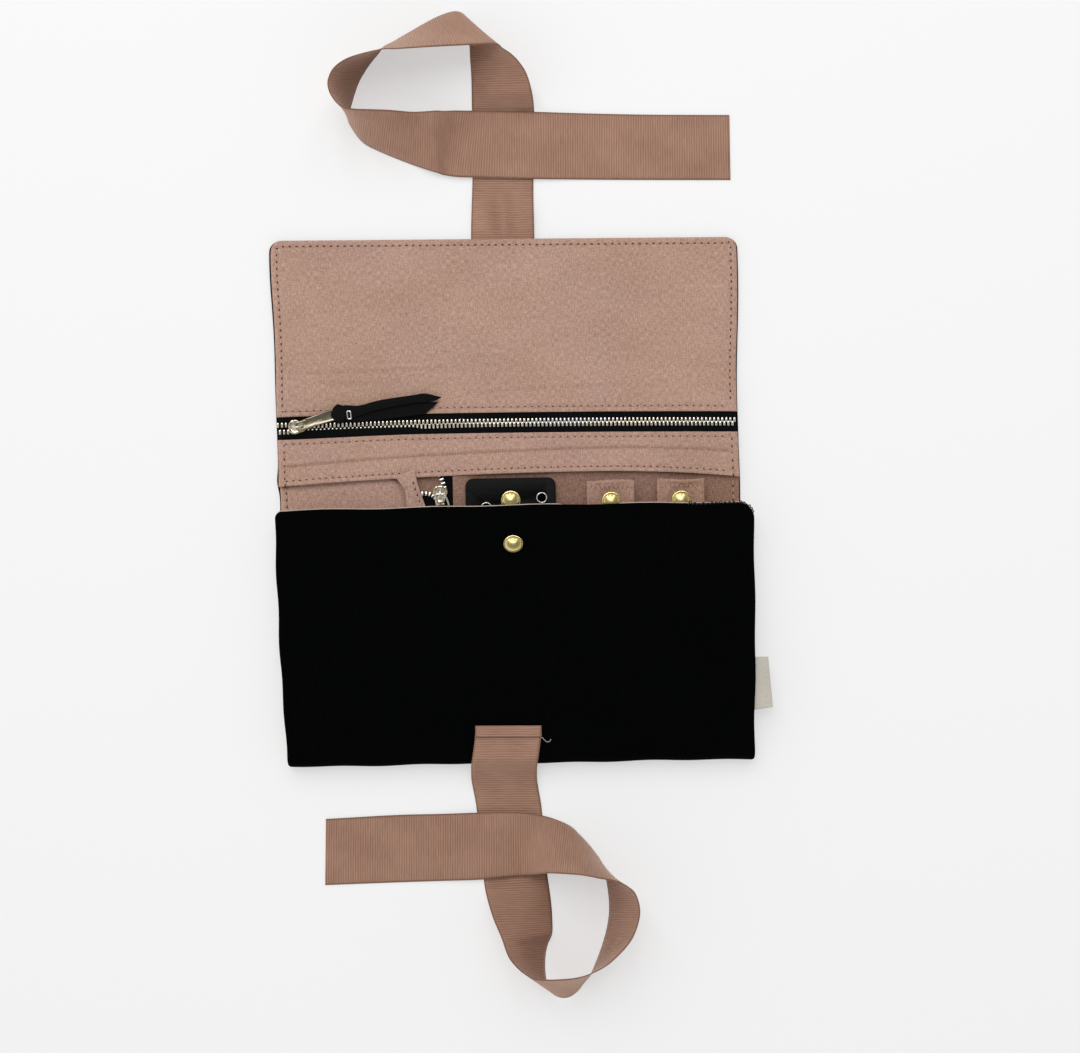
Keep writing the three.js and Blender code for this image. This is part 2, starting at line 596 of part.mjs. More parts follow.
const strip = new THREE.Group();
strip.position.x = TAB_LENGTH + SOFT_GAP;
pull.add(strip);
const loopHigh = PULL / 2 + SOFT_GAP;
const loopShape = boxShape(-TAB_BAR - 2 * SOFT_GAP - LOOP_WALL, LOOP_WALL, -loopHigh - LOOP_WALL, loopHigh + LOOP_WALL);
loopShape.holes.push(boxShape(-TAB_BAR - 2 * SOFT_GAP, 0, -loopHigh, loopHigh));
const loop = extrude(loopShape, -LOOP_WIDTH / 2, LOOP_WIDTH / 2).applyMatrix4(alongX);
const neck = STRIP_NECK / 2;
const wide = STRIP_WIDTH / 2;
const neckEnd = CLIP_PLACE + CLIP_LENGTH + SOFT_GAP;
const stripAngle = THREE.MathUtils.degToRad(STRIP_TURN);
const stripStart = neck * Math.abs(Math.sin(stripAngle));
const stripShape = new THREE.Shape();
stripShape.moveTo(stripStart, -neck);
stripShape.lineTo(neckEnd, -neck);
stripShape.quadraticCurveTo(neckEnd + STRIP_NECK / 2, -neck, neckEnd + STRIP_NECK, -wide);
stripShape.lineTo(STRIP_LENGTH - STRIP_CUT, -wide);
stripShape.lineTo(STRIP_LENGTH, neck);
stripShape.lineTo(STRIP_LENGTH - STRIP_CUT / 2, wide);
stripShape.lineTo(neckEnd + STRIP_NECK, wide);
stripShape.quadraticCurveTo(neckEnd + STRIP_NECK / 2, neck, neckEnd, neck);
stripShape.lineTo(stripStart, neck);
const stripTurn = new THREE.Matrix4().makeRotationZ(stripAngle);
const stripBody = extrude(stripShape, -STRIP / 2, STRIP / 2).applyMatrix4(stripTurn);
addPiece('zip_pull_strip', toGeometry(toSolid(stripBody).add(toSolid(loop))), black, strip);
const clipIn = [neck + SOFT_GAP, STRIP / 2 + SOFT_GAP];
const clipShape = boxShape(-clipIn[0] - CLIP_WALL, clipIn[0] + CLIP_WALL, -clipIn[1] - CLIP_WALL, clipIn[1] + CLIP_WALL);
clipShape.holes.push(boxShape(-clipIn[0], clipIn[0], -clipIn[1], clipIn[1]));
const clip = extrude(clipShape, CLIP_PLACE, CLIP_PLACE + CLIP_LENGTH).applyMatrix4(alongY);
addPiece('zip_pull_clip', clip.applyMatrix4(stripTurn), steel, strip);

// Front flap: folded up over the back panel, lining down, with the closing snap's cap and socket
const frontInset = FRONT_WIDTH - 2 * SEAM_INSET;
const closureHole = () => roundHole(CLOSURE_X, closureY, stemHole);
const frontCanvas = panelShape(FRONT_WIDTH, backLow, frontHigh, CORNER_RADIUS);
const frontLayer = panelShape(frontInset, backLow, frontHigh - SEAM_INSET, CORNER_RADIUS);
frontCanvas.holes.push(closureHole());
frontLayer.holes.push(closureHole());
const frontBattingZ = frontZ + LINING + LAYER_GAP;
addPiece('front_lining', extrude(frontLayer, frontZ, frontZ + LINING), pink);
addPiece('front_batting', extrude(frontLayer, frontBattingZ, frontBattingZ + BATTING), filling);
addPiece('front_outer_panel', extrude(frontCanvas, frontTop - CANVAS, frontTop), black);
addSnap('closure_snap', CLOSURE_X, closureY, plateTop, PLATE, frontZ, panel, gold);

// Side label: a folded tape sewn into the flap's right seam, its outer end slanted
const labelShape = new THREE.Shape();
const labelIn = FRONT_WIDTH / 2 - SEAM_INSET + SOFT_GAP;
const labelHigh = frontHigh - LABEL_DROP;
labelShape.moveTo(labelIn, labelHigh);
labelShape.lineTo(labelIn, labelHigh - LABEL_LENGTH);
labelShape.lineTo(labelIn + LABEL_REACH, labelHigh - LABEL_LENGTH + LABEL_SLANT);
labelShape.lineTo(labelIn + LABEL_REACH - LABEL_SLANT, labelHigh);
addPiece('side_label', extrude(labelShape, frontBattingZ, frontBattingZ + LABEL), labelCloth);

// Top tie ribbon: sewn into the flap's edge, it runs out, rolls over to the left, stands on edge round its loop and
// comes back over itself. Heights are from the table, lengths from the flap's edge.
const topRibbon = ribbonStrip([
  [-18.9, -RIBBON_TUCK, CANVAS + LAYER_GAP + RIBBON / 2, 15, -RIBBON_TUCK, CANVAS + LAYER_GAP + RIBBON / 2],
  [-18.6, 8.2, 1, 14.9, 7.6, 1.0],
  [-18, 21.7, 0.7, 14.8, 21.1, 0.7],
  [-17.1, 48.4, 0.4, 15.6, 47.8, 0.4],
  [-17.2, 70.9, 0.5, 16, 70.2, 0.9],
  [-17.1, 79.5, 0.6, 15, 75.7, 14.1],
  [-17.1, 87.9, 0.7, 12.4, 84, 19.2],
  [-17.5, 96.4, 1, 8.4, 89.5, 23.6],
  [-17.8, 104.3, 1.6, 4.2, 93.1, 26.4],
  [-18.7, 112.7, 2.2, 0.4, 95.8, 26.1],
  [-20.5, 120.2, 2.6, -3.2, 98.7, 24.2],
  [-24.4, 122, 2.6, -10.5, 98.7, 24.8],
  [-30.1, 121.2, 2, -20.4, 98, 26.3],
  [-37.6, 118.4, 1.2, -32.3, 97.1, 28.4],
  [-50.8, 111.4, 0.6, -46.7, 95.7, 31.6],
  [-59.3, 106.7, 0.4, -55.9, 94.9, 33.2],
  [-63.7, 104.5, 0.4, -61.5, 94.7, 33.9],
  [-66.9, 100.7, 0.4, -71.9, 92.6, 34.1],
  [-70.8, 96.1, 0.4, -81.3, 89.8, 33.2],
  [-74.3, 91.2, 0.4, -87.6, 85.4, 32.3],
  [-77.4, 85.9, 0.4, -90.4, 79.5, 32.3],
  [-79.9, 79.5, 0.4, -89.9, 74.1, 33.5],
  [-81.9, 73.1, 0.4, -87.7, 69.6, 34.7],
  [-83.3, 68.8, 0.4, -85.1, 66.4, 35.2],
  [-83.4, 65.4, 0.4, -82, 64.5, 35.2],
  [-80.5, 59.7, 0.4, -77, 63.7, 35.0],
  [-75.4, 53.3, 0.4, -69.9, 63.7, 33.4],
  [-65, 47.7, 0.4, -59.7, 63.7, 31.1],
  [-49.4, 41.1, 0.5, -46.5, 64.4, 23.0],
  [-36.4, 36.1, 1.2, -35.2, 67.5, 12.5],
  [-27.5, 33.9, 2.2, -22.5, 69, 3.0],
  [-16.3, 33.4, 2, -12.7, 69, 2.2],
  [-1.2, 32.8, 1.8, -0.6, 68.6, 1.8],
  [15.9, 32.1, 1.6, 16, 68, 1.6],
  [39.9, 31.6, 0.7, 40.6, 67, 0.7],
  [72, 30.9, 0.4, 72.6, 65.8, 0.4],
  [120.4, 30, 0.4, 120.4, 64.7, 0.4],
]);
addPiece('top_ribbon', topRibbon, grosgrain).position.y = topHigh;

// Bottom tie ribbon: hemmed and sewn on the front flap, it drops over the fold to the table and makes the like loop,
// turned half round. Lengths are from the fold.
const onFlap = frontTop + SOFT_GAP + RIBBON / 2;
const hem = 2 * RIBBON;
const bottomRibbon = ribbonStrip([
  [14.3, 14.7, onFlap + hem, -20.7, 15.2, onFlap + hem],
  [14.3, 18.6, onFlap + hem, -20.7, 19.1, onFlap + hem],
  [14.3, 20.2, onFlap + hem / 2, -20.7, 20.7, onFlap + hem / 2],
  [14.3, 18.6, onFlap, -20.7, 19.1, onFlap],
  [13.8, 12.8, onFlap, -21.2, 13.3, onFlap],
  [13, 7.3, onFlap, -22, 7.8, onFlap],
  [12.2, 2.4, onFlap, -22.8, 2.9, onFlap],
  [11.6, -1.4, 0.72 * frontTop, -23.4, -0.9, 0.72 * frontTop],
  [11.4, -4.8, 0.44 * frontTop, -23.6, -4.3, 0.44 * frontTop],
  [11.4, -9.6, 0.2 * frontTop, -23.6, -9.1, 0.2 * frontTop],
  [12.2, -15.7, 0.8, -22.7, -15.1, 0.8],
  [13.3, -22.9, 0.5, -21.5, -22.2, 0.5],
  [15, -44.8, 0.4, -19.8, -44.2, 0.4],
  [16, -60.9, 0.4, -18.1, -62.4, 0.4],
  [17, -68.9, 0.4, -17.1, -69.2, 1.5],
  [17.8, -77, 0.4, -15.1, -74.1, 11.9],
  [18.1, -83.9, 0.5, -12.7, -80.5, 16.7],
  [17.8, -92, 0.6, -8.3, -89.1, 23.7],
  [15.3, -98.2, 0.7, -6.5, -93.9, 27.8],
  [14, -104.6, 0.9, -4.5, -98.1, 29.9],
  [13.8, -111.9, 1.6, -1.8, -101.5, 31.1],
  [15, -119.2, 2.4, 0.7, -104.2, 30.6],
  [17.9, -123.8, 2.6, 3.2, -106.6, 29.3],
  [22.1, -125.9, 2.6, 8.1, -109.2, 30.0],
  [26.4, -125.8, 2, 15.9, -109.6, 31.2],
  [30.8, -123.2, 1, 25.7, -109, 32.6],
  [34.6, -118.7, 0.5, 31.9, -107.9, 33.7],
  [38.2, -114.6, 0.4, 37.6, -106, 34.3],
  [40.6, -109.5, 0.4, 45.4, -102.1, 34.3],
  [43.3, -103, 0.4, 52.8, -96.1, 33.4],
  [46.3, -94.1, 0.4, 59.4, -88.4, 32.3],
  [48.3, -85.5, 0.4, 63, -79.2, 31.5],
  [48.9, -78.1, 0.4, 63.4, -72.5, 31.7],
  [48.5, -70.6, 0.4, 61.2, -65.3, 32.6],
  [47.6, -64.1, 0.4, 57.5, -61.5, 33.9],
  [46.4, -57.7, 0.4, 53.4, -59.1, 34.7],
  [44.3, -53.3, 0.4, 48.8, -57.8, 34.8],
  [41.2, -48.8, 0.4, 43.1, -56.8, 34.4],
  [37.1, -43.6, 0.4, 38, -55.9, 33.2],
  [32.8, -39, 0.4, 32.3, -55.3, 31.4],
  [28.9, -35.2, 0.5, 25.9, -55.2, 29.1],
  [18.5, -30.4, 0.8, 16, -56, 22.0],
  [6.2, -27.3, 2.2, 5.6, -60.7, 3.0],
  [-6.3, -26.6, 2, -6.7, -61.5, 2.0],
  [-19.4, -26.7, 1.8, -20, -62.5, 1.8],
  [-40.9, -27.2, 0.8, -41.5, -63, 0.8],
  [-62.3, -27.4, 0.4, -62.9, -63.4, 0.4],
  [-101.9, -28.9, 0.4, -102.9, -64.2, 0.4],
]);
addPiece('bottom_ribbon', bottomRibbon, grosgrain).position.y = foldY;

export default pouch;
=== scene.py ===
"""A tri-fold jewellery pouch of black cotton with a pink lining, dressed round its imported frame.

Sizes and places are in millimetres, in the frame's own axes: +X along the folds, +Y towards the opened top flap
and +Z up from the table. MM turns them into Blender's metres where a mesh is made.
"""
import math

import bpy
import numpy as np
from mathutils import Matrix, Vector


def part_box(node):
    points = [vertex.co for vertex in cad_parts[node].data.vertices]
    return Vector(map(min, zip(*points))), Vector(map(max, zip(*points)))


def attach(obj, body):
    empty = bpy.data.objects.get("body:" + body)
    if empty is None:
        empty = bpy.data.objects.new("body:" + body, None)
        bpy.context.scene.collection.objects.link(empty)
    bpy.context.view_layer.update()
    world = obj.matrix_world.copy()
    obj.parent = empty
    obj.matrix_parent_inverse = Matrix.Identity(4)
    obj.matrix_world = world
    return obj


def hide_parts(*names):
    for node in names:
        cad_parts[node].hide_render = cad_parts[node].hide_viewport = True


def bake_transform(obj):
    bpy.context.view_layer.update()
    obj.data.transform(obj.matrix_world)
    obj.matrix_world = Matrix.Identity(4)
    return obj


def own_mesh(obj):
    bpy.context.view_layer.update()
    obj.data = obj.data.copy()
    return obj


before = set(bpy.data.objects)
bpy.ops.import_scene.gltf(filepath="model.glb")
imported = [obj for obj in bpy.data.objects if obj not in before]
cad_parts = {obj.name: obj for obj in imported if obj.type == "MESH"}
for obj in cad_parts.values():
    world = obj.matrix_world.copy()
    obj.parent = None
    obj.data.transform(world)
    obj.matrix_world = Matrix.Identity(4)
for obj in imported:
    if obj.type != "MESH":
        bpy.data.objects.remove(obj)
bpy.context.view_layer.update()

# Outer cover
# The outside is one length of black cotton canvas. It lies under the back panel and the opened top flap, turns up
# round the front fold and covers the front flap, with its edges turned in at the seams.
MM = 0.001
COVER = 0.7
COVER_RIM = 1.9
COVER_UNDERSIDE = 0.05
COVER_STEP = 1.4
FOLDED_STEP = 2.0
SEAM_RISE = 1.5
FLAP_CORNER = 6.0
FRONT_CORNERS = np.array([3.8, 8.5])


def srgb(red, green, blue):
    """A colour of 0 to 255 as the eye sees it, in the linear values that a shader takes."""
    part = np.array([red, green, blue]) / 255
    linear = np.where(part <= 0.04045, part / 12.92, ((part + 0.055) / 1.055) ** 2.4)
    return (*linear.tolist(), 1.0)


def add_node(tree, kind, **settings):
    """A shader node. A setting named inN or in_Name fills that input, by a value or by the socket to link from."""
    node = tree.nodes.new(kind)
    for key, value in settings.items():
        if not key.startswith("in"):
            setattr(node, key, value)
            continue
        name = key[2:].strip("_").replace("_", " ")
        socket = node.inputs[int(name) if name.isdigit() else name]
        if isinstance(value, bpy.types.NodeSocket):
            tree.links.new(value, socket)
        else:
            socket.default_value = value
    return node


def new_material(name, **inputs):
    """A material and its tree and shader, with the shader's inputs set: in_Roughness=0.9 and the like."""
    material = bpy.data.materials.new(name)
    material.use_nodes = True
    tree = material.node_tree
    tree.nodes.clear()
    shader = add_node(tree, "ShaderNodeBsdfPrincipled", **inputs)
    output = add_node(tree, "ShaderNodeOutputMaterial")
    tree.links.new(shader.outputs[0], output.inputs[0])
    return material, tree, shader


def stretched_noise(tree, flat, across, along, detail=3.0):
    """Noise whose grains are about across by along mm on the flat cloth."""
    mapping = add_node(tree, "ShaderNodeMapping", in_Vector=flat, in_Scale=(1 / MM / across, 1 / MM / along, 1))
    noise = add_node(tree, "ShaderNodeTexNoise", in_Vector=mapping.outputs[0], in_Scale=1.0, in_Detail=detail)
    return noise.outputs[0]


def math_node(tree, operation, first, second=0.0):
    """The result of one sum on two sockets or numbers."""
    return add_node(tree, "ShaderNodeMath", operation=operation, in0=first, in1=second).outputs[0]


def weighted_sum(tree, *terms):
    """The sum of some sockets, each times its weight."""
    parts = [socket if weight == 1 else math_node(tree, "MULTIPLY", socket, weight) for socket, weight in terms]
    total = parts[0]
    for part in parts[1:]:
        total = math_node(tree, "ADD", total, part)
    return total


def tone_ramp(tree, factor, dark, light, low=0.3, high=0.7):
    """A colour that runs from dark, where a factor is low, to light, where it is high."""
    ramp = add_node(tree, "ShaderNodeValToRGB", in0=factor)
    for end, position, colour in zip(ramp.color_ramp.elements, (low, high), (dark, light)):
        end.position = position
        end.color = colour
    return ramp.outputs[0]


def add_relief(tree, shader, height, depth, strength):
    """Gives a shader the relief of a height socket, depth mm deep."""
    bump = add_node(tree, "ShaderNodeBump", in_Height=height, in_Distance=depth * MM, in_Strength=strength)
    tree.links.new(bump.outputs[0], shader.inputs["Normal"])


def woven(name, dark, light, pitch, slub, depth, **inputs):
    """Plain-weave cloth on the flat UV map. Warp and weft threads each have their own tone, noise stretched along the
    thread, and some patches of the cloth are warmer. The weave's height is sin(2 pi u / pitch) sin(2 pi v / pitch)."""
    material, tree, shader = new_material(name, **inputs)
    flat = add_node(tree, "ShaderNodeUVMap", uv_map="flat").outputs[0]
    warp = stretched_noise(tree, flat, pitch, slub)
    weft = stretched_noise(tree, flat, slub, pitch)
    cloud = stretched_noise(tree, flat, 40, 24, 2.0)
    patch = stretched_noise(tree, flat, 60, 45, 1.0)
    threads = weighted_sum(tree, (warp, 0.5), (weft, 0.38))
    tone = weighted_sum(tree, (threads, 1), (cloud, 0.12))
    warmth = add_node(tree, "ShaderNodeMapRange", in_Value=patch, in_From_Min=0.4, in_From_Max=0.6).outputs[0]
    tint = add_node(tree, "ShaderNodeMix", data_type="RGBA", blend_type="MULTIPLY", in0=warmth,
                    in6=tone_ramp(tree, tone, dark, light, 0.37, 0.63), in7=(1.0, 0.99, 0.94, 1))
    tree.links.new(tint.outputs[2], shader.inputs["Base Color"])
    place = add_node(tree, "ShaderNodeSeparateXYZ", in0=flat)
    turns = 2 * math.pi / (pitch * MM)
    waves = [math_node(tree, "SINE", math_node(tree, "MULTIPLY", place.outputs[i], turns)) for i in (0, 1)]
    weave = math_node(tree, "MULTIPLY", waves[0], waves[1])
    add_relief(tree, shader, weighted_sum(tree, (weave, 0.35), (threads, 0.4)), depth, 1.0)
    return material


def smooth(t):
    """0 below 0, 1 above 1 and 3t^2 - 2t^3 between them."""
    t = np.clip(t, 0, 1)
    return t * t * (3 - 2 * t)


def ridge(distance, width):
    """A soft ridge, exp(-(distance / width)^2): 1 on its line and next to nothing two widths off."""
    return np.exp(-(distance / width) ** 2)


def rim(distance, reach):
    """How far a cloth edge has turned over: 1 at the edge, 0 a reach inside it, on a quarter of an ellipse."""
    t = np.clip(distance / reach, 0, 1)
    return 1 - np.sqrt(1 - (1 - t) ** 2)


def ripple(x, y, length, seed):
    """Soft waves between -1 and 1: the mean of six sine waves with wavelengths near length, in drawn directions."""
    draw = np.random.default_rng(seed)
    turn = draw.uniform(0, math.pi, 6)
    wave = length * draw.uniform(0.6, 1.7, 6)
    start = draw.uniform(0, 2 * math.pi, 6)
    along = np.multiply.outer(x, np.cos(turn)) + np.multiply.outer(y, np.sin(turn))
    return np.sin(2 * math.pi * along / wave + start).mean(-1)


def crowd(length, step):
    """Shares of a length, a step apart inside and crowded towards both ends, where cloth turns over."""
    edge = np.array([0, 0.12, 0.35, 0.7, 1.2, 1.8, 2.6])
    inner = np.linspace(3.6, length - 3.6, max(2, int(length / step)))
    return np.concatenate([edge, inner, length - edge[::-1]]) / length


def panel_grid(left, right, low, high, step, corner=0.0):
    """x, y and the distance to the side and high edges over a cloth panel. left and right are functions of y, low and
    high functions of x. The two high corners are arcs of the corner radius, or of a radius each."""
    low_line = float(low(np.array(0.0)))
    high_line = float(high(np.array(0.0)))
    v = crowd(high_line - low_line, step)[:, None]
    u = crowd(float(right(np.array(low_line)) - left(np.array(low_line))), step)[None, :]
    line = low_line + (high_line - low_line) * v
    insets = [r - np.sqrt(r ** 2 - np.clip(line - high_line + r, 0, r) ** 2) for r in np.broadcast_to(corner, 2)]
    start = left(line) + insets[0]
    stop = right(line) - insets[1]
    x = start + (stop - start) * u
    y = low(x) + (high(x) - low(x)) * v
    edge = np.minimum(np.minimum(x - start, stop - x), high(x) - y)
    return x, y, edge


def level(value):
    """An edge that runs straight at one place."""
    return lambda place: np.full_like(place, value, dtype=float)


def grid_faces(rows, columns, wrap):
    """Quads over a grid of points, and its first and last rows as a face each. wrap joins the last column to the
    first."""
    index = np.arange(rows * columns).reshape(rows, columns)
    left = index if wrap else index[:, :-1]
    right = np.roll(index, -1, 1) if wrap else index[:, 1:]
    quads = np.stack([left[:-1], right[:-1], right[1:], left[1:]], -1).reshape(-1, 4)
    return quads, np.stack([index[0, ::-1], index[-1]])


def new_piece(name, points, faces):
    """A smooth object out of points in mm and their faces."""
    mesh = bpy.data.meshes.new(name)
    mesh.from_pydata((points.reshape(-1, 3) * MM).tolist(), [], faces)
    mesh.shade_smooth()
    piece = bpy.data.objects.new(name, mesh)
    bpy.context.scene.collection.objects.link(piece)
    return piece


def surface(name, points, flat=None, wrap=False, capped=False):
    """A smooth mesh over a grid of points, rows by columns. wrap joins the last column to the first, and capped closes
    the first and last rows with a face each. flat, the cloth's own mm across and along, becomes the UV map."""
    quads, ends = grid_faces(*points.shape[:2], wrap)
    piece = new_piece(name, points, quads.tolist() + (ends.tolist() if capped else []))
    mesh = piece.data
    if capped:
        mesh.set_sharp_from_angle(angle=math.radians(40))
    if flat is not None:
        corners = np.empty(len(mesh.loops), int)
        mesh.loops.foreach_get("vertex_index", corners)
        layer = mesh.uv_layers.new(name="flat")
        layer.data.foreach_set("uv", (flat.reshape(-1, 2) * MM)[corners].ravel())
    return piece


def dress(piece, material, slot, *nodes, body=None):
    """Gives a piece its material, hides the CAD nodes that it stands for, and lets it ride on a body. slot is not used.
    """
    piece.data.materials.append(material)
    if nodes:
        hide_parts(*nodes)
    if body:
        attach(piece, body)


def cloth(name, points, finish, nodes, thickness, outward=-1, flat=None, body=None):
    """A sheet of cloth over a grid of points, which stands for some CAD nodes and rides on a body. finish is its
    material and slot.
    Its thickness grows along the faces' normals where outward is 1, against them where it is -1, and both ways where it
    is 0."""
    piece = surface(name, points, points[..., :2] if flat is None else flat)
    wall = piece.modifiers.new("thickness", "SOLIDIFY")
    wall.thickness = thickness * MM
    wall.offset = outward
    dress(piece, *finish, *nodes, body=body)
    return piece


def node_box(node):
    """Lowest and highest corner of a CAD node, in mm."""
    low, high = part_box(node)
    return np.array(low) / MM, np.array(high) / MM


def cover_left(y):
    """Left edge of the back and the top flap, which flares towards its corner."""
    flare = 2.2 * smooth((y - 112) / 85)
    return -124.4 - flare + 0.3 * np.sin(y / 11) + 1.3 * smooth((82 - y) / 20) + 2.9 * smooth((30 - y) / 95)


def cover_right(y):
    """Right edge of the back and the top flap."""
    return 121.9 + 1.5 * smooth((y - 110) / 85) + 0.7 * smooth((95 - y) / 30) + 0.25 * np.sin(y / 13 + 1)


def canvas_left(y):
    """Left edge of the canvas, which bulges where it bends at the spine."""
    return cover_left(y) - 0.8 * ridge(y - 75, 5)


def flap_end(x):
    """Free edge of the top flap, a little lower to the right."""
    return 203.2 - 1.1 * x / 124


black_cotton = woven("black_cotton", srgb(1, 2, 2), srgb(5, 5, 6), pitch=0.55, slub=9, depth=0.12,
                     in_Roughness=1.0, in_Specular_IOR_Level=0.03)
canvas = (black_cotton, "black_cotton")
fold_low, fold_high = node_box("bottom_fold")
fold_y = fold_high[1]
fold_radius = (fold_high[2] - fold_low[2]) / 2
x, y, edge = panel_grid(canvas_left, cover_right, level(fold_y), flap_end, COVER_STEP, FLAP_CORNER)
z = COVER_UNDERSIDE + SEAM_RISE * rim(edge, COVER_RIM)
outer_cover = cloth("outer_cover", np.stack([x, y, z], -1), canvas, ["back_outer_panel", "top_outer_panel"],
                    COVER, 1)
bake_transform(outer_cover)


def front_left(y):
    """Left edge of the front flap, which slants in towards the fold."""
    return -124.9 + 1.5 * smooth((50 - y) / 80) + 2.6 * smooth((-10 - y) / 65) + 0.3 * np.sin(y / 6)


def front_right(y):
    """Right edge of the front flap."""
    return 128.4 + 0.2 * smooth(y / 60) - 1.4 * smooth(-y / 70) + 0.25 * np.sin(y / 7)


def front_end(x):
    """Free edge of the front flap, crowned a little right of its middle."""
    return 61.0 - 1.6 * ((x - 30) / 150) ** 2 + 0.25 * np.sin(x / 9) + 0.6 * smooth((-60 - x) / 50)


def folded_panel(radius, drop, end, inset=0.0):
    """Points and flat places of cloth that turns up round the front fold at a radius and runs on to the front flap's
    free edge: half a circle about the fold line, then a level panel. Each edge is drawn in by drop at its rim."""
    x, y, edge = panel_grid(lambda y: front_left(y) + inset, lambda y: front_right(y) - inset, level(fold_y), end,
                            FOLDED_STEP, FRONT_CORNERS - inset)
    turn = np.radians(np.linspace(270, 90, 19)[:-1])[:, None]
    across = np.repeat(x[:1], len(turn), 0)
    side = np.minimum(across - across[:, :1], across[:, -1:] - across)
    wave = 0.25 * np.sin(across / 6.5) + 0.2 * np.sin(across / 17)
    reach = radius - drop * rim(side, COVER_RIM) + wave * np.abs(np.cos(turn))
    arc = np.stack([across, fold_y + reach * np.cos(turn), fold_radius + reach * np.sin(turn)], -1)
    height = fold_radius + radius - drop * rim(edge, COVER_RIM)
    top = np.stack([x, y, height], -1)
    along = np.concatenate([np.broadcast_to((turn - turn[0]) * -radius, across.shape), y - fold_y + math.pi * radius])
    flat = np.stack([np.concatenate([across, x]), along], -1)
    return np.concatenate([arc, top]), flat


points, flat = folded_panel(fold_radius, SEAM_RISE, front_end)
sag = 0.35 * ripple(points[..., 0], points[..., 1], 60, seed=3)
points[..., 2] += sag * smooth((points[..., 2] - fold_radius) / fold_radius)
front_cover = cloth("front_cover", points, canvas, ["front_outer_panel", "bottom_fold"], COVER,
                    flat=flat)
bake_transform(front_cover)

# Batting
# A thin polyester batting lies between canvas and lining in each of the three panels and is caught in their seams.
# It makes the panels soft and keeps their edges round.
BATTING_PANELS = {"back_batting": "back", "top_batting": "top_flap", "front_batting": "front_flap"}
BATTING_INSET = 4
batting_felt = woven("batting_felt", srgb(222, 217, 208), srgb(240, 237, 230), pitch=1.8, slub=3, depth=0.3,
                     in_Roughness=1.0)


def unit(vectors):
    """Vectors of the same directions, each of length 1."""
    return vectors / np.linalg.norm(vectors, axis=-1, keepdims=True)


def inset_rings(outline, sections):
    """Rings of points round an outline drawn counter-clockwise. Each section is an inset, along the outline's normals,
    at a height."""
    ahead = unit(np.roll(outline, -1, 0) - np.roll(outline, 1, 0))
    inward = np.stack([-ahead[:, 1], ahead[:, 0]], -1)
    return np.stack([np.column_stack([outline + inward * inset, np.full(len(outline), z)]) for inset, z in sections])


def slab(name, outline, sections):
    """A closed solid through the inset rings of an outline, from the lowest section up."""
    rings = inset_rings(outline, sections)
    return surface(name, rings, rings[..., :2], wrap=True, capped=True)


for node, body in BATTING_PANELS.items():
    low, high = node_box(node)
    middle = (low[2] + high[2]) / 2
    left, right = (front_left, front_right) if body == "front_flap" else (cover_left, cover_right)
    run = np.linspace(low[1] + 1, high[1] - 3, 40)
    outline = np.concatenate([np.stack([right(run) - BATTING_INSET, run], -1),
                              np.stack([left(run) + BATTING_INSET, run], -1)[::-1]])
    pad = slab(node.replace("batting", "padding"), outline,
               [(1, low[2]), (0.4, low[2] + 0.15), (0, middle), (0.4, high[2] - 0.15), (1, high[2])])
    dress(pad, batting_felt, "batting", node)
    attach(pad, body)

# Lining
# The inside is a slubby dusty-pink cotton and linen weave. The top flap's lining is in two pieces either side of the
# zip window, the middle is one piece beside the side zip, and the pocket panel lies left of that zip.
LINING = 0.5
STRIP = 1.0
FACING = 0.9
BACKING = 0.3
LINING_INSET = 0.5
LINING_TOP = 3.35
PINK = ((163, 129, 114), (208, 173, 158))
SEAM_ROUND = 2.6
SEAM_DROP = 2.0
ZIP_ROUND = 0.9
ZIP_DROP = 0.5
WINDOW = 5.4
WINDOW_RISE = 2.0
EDGE_STITCH = 3.4
ZIP_STITCH = 3.0


def linen(name, dark, light):
    """The lining's weave in one of its tones."""
    return woven(name, srgb(*dark), srgb(*light), pitch=0.6, slub=2.5, depth=0.2, in_Roughness=0.95,
                 in_Specular_IOR_Level=0.1)


def node_centre(node):
    """Middle of a CAD node's box, in mm."""
    low, high = node_box(node)
    return (low + high) / 2


outer_pink = (linen("pink_lining", *PINK), "pink_lining")
# A darker copy of the lining's tones for the middle panel and the pocket insides: painted shade, for the same cloth
# lying low and in shadow.
shaded_pink = (linen("shaded_lining", (130, 97, 83), (176, 141, 124)), "pink_lining")
slider_x, zip_y = node_centre("zip_slider")[:2]


def left_sag(x):
    """How far the zip window has sagged: 1 at its left end, 0 from 80 mm on."""
    return 1 - smooth((x + 124) / 80)


def zip_line(x):
    """Middle of the main zip, which bows up a little left of its middle and sags at its left end."""
    return zip_y + 0.6 - 1.5 * ((x + 32) / 150) ** 2 - 0.7 * left_sag(x)


def window_top(x):
    """Upper edge of the zip window."""
    return zip_line(x) + WINDOW + 0.7 * left_sag(x)


def window_foot(x):
    """Lower edge of the zip window."""
    return zip_line(x) - WINDOW - 0.6 * left_sag(x)


def lining_left(y):
    """Left edge of the lining, just inside the canvas."""
    return cover_left(y) + LINING_INSET + 0.25 * smooth((y - 140) / 40)


def lining_right(y):
    """Right edge of the lining, just inside the canvas."""
    return cover_right(y) - LINING_INSET


def lining_end(x):
    """Upper edge of the top flap's lining, turned over the canvas."""
    return flap_end(x) + 0.3


def channel(distance):
    """The dent that a row of stitches pulls into padded cloth."""
    return 0.35 * ridge(distance, 1.1)


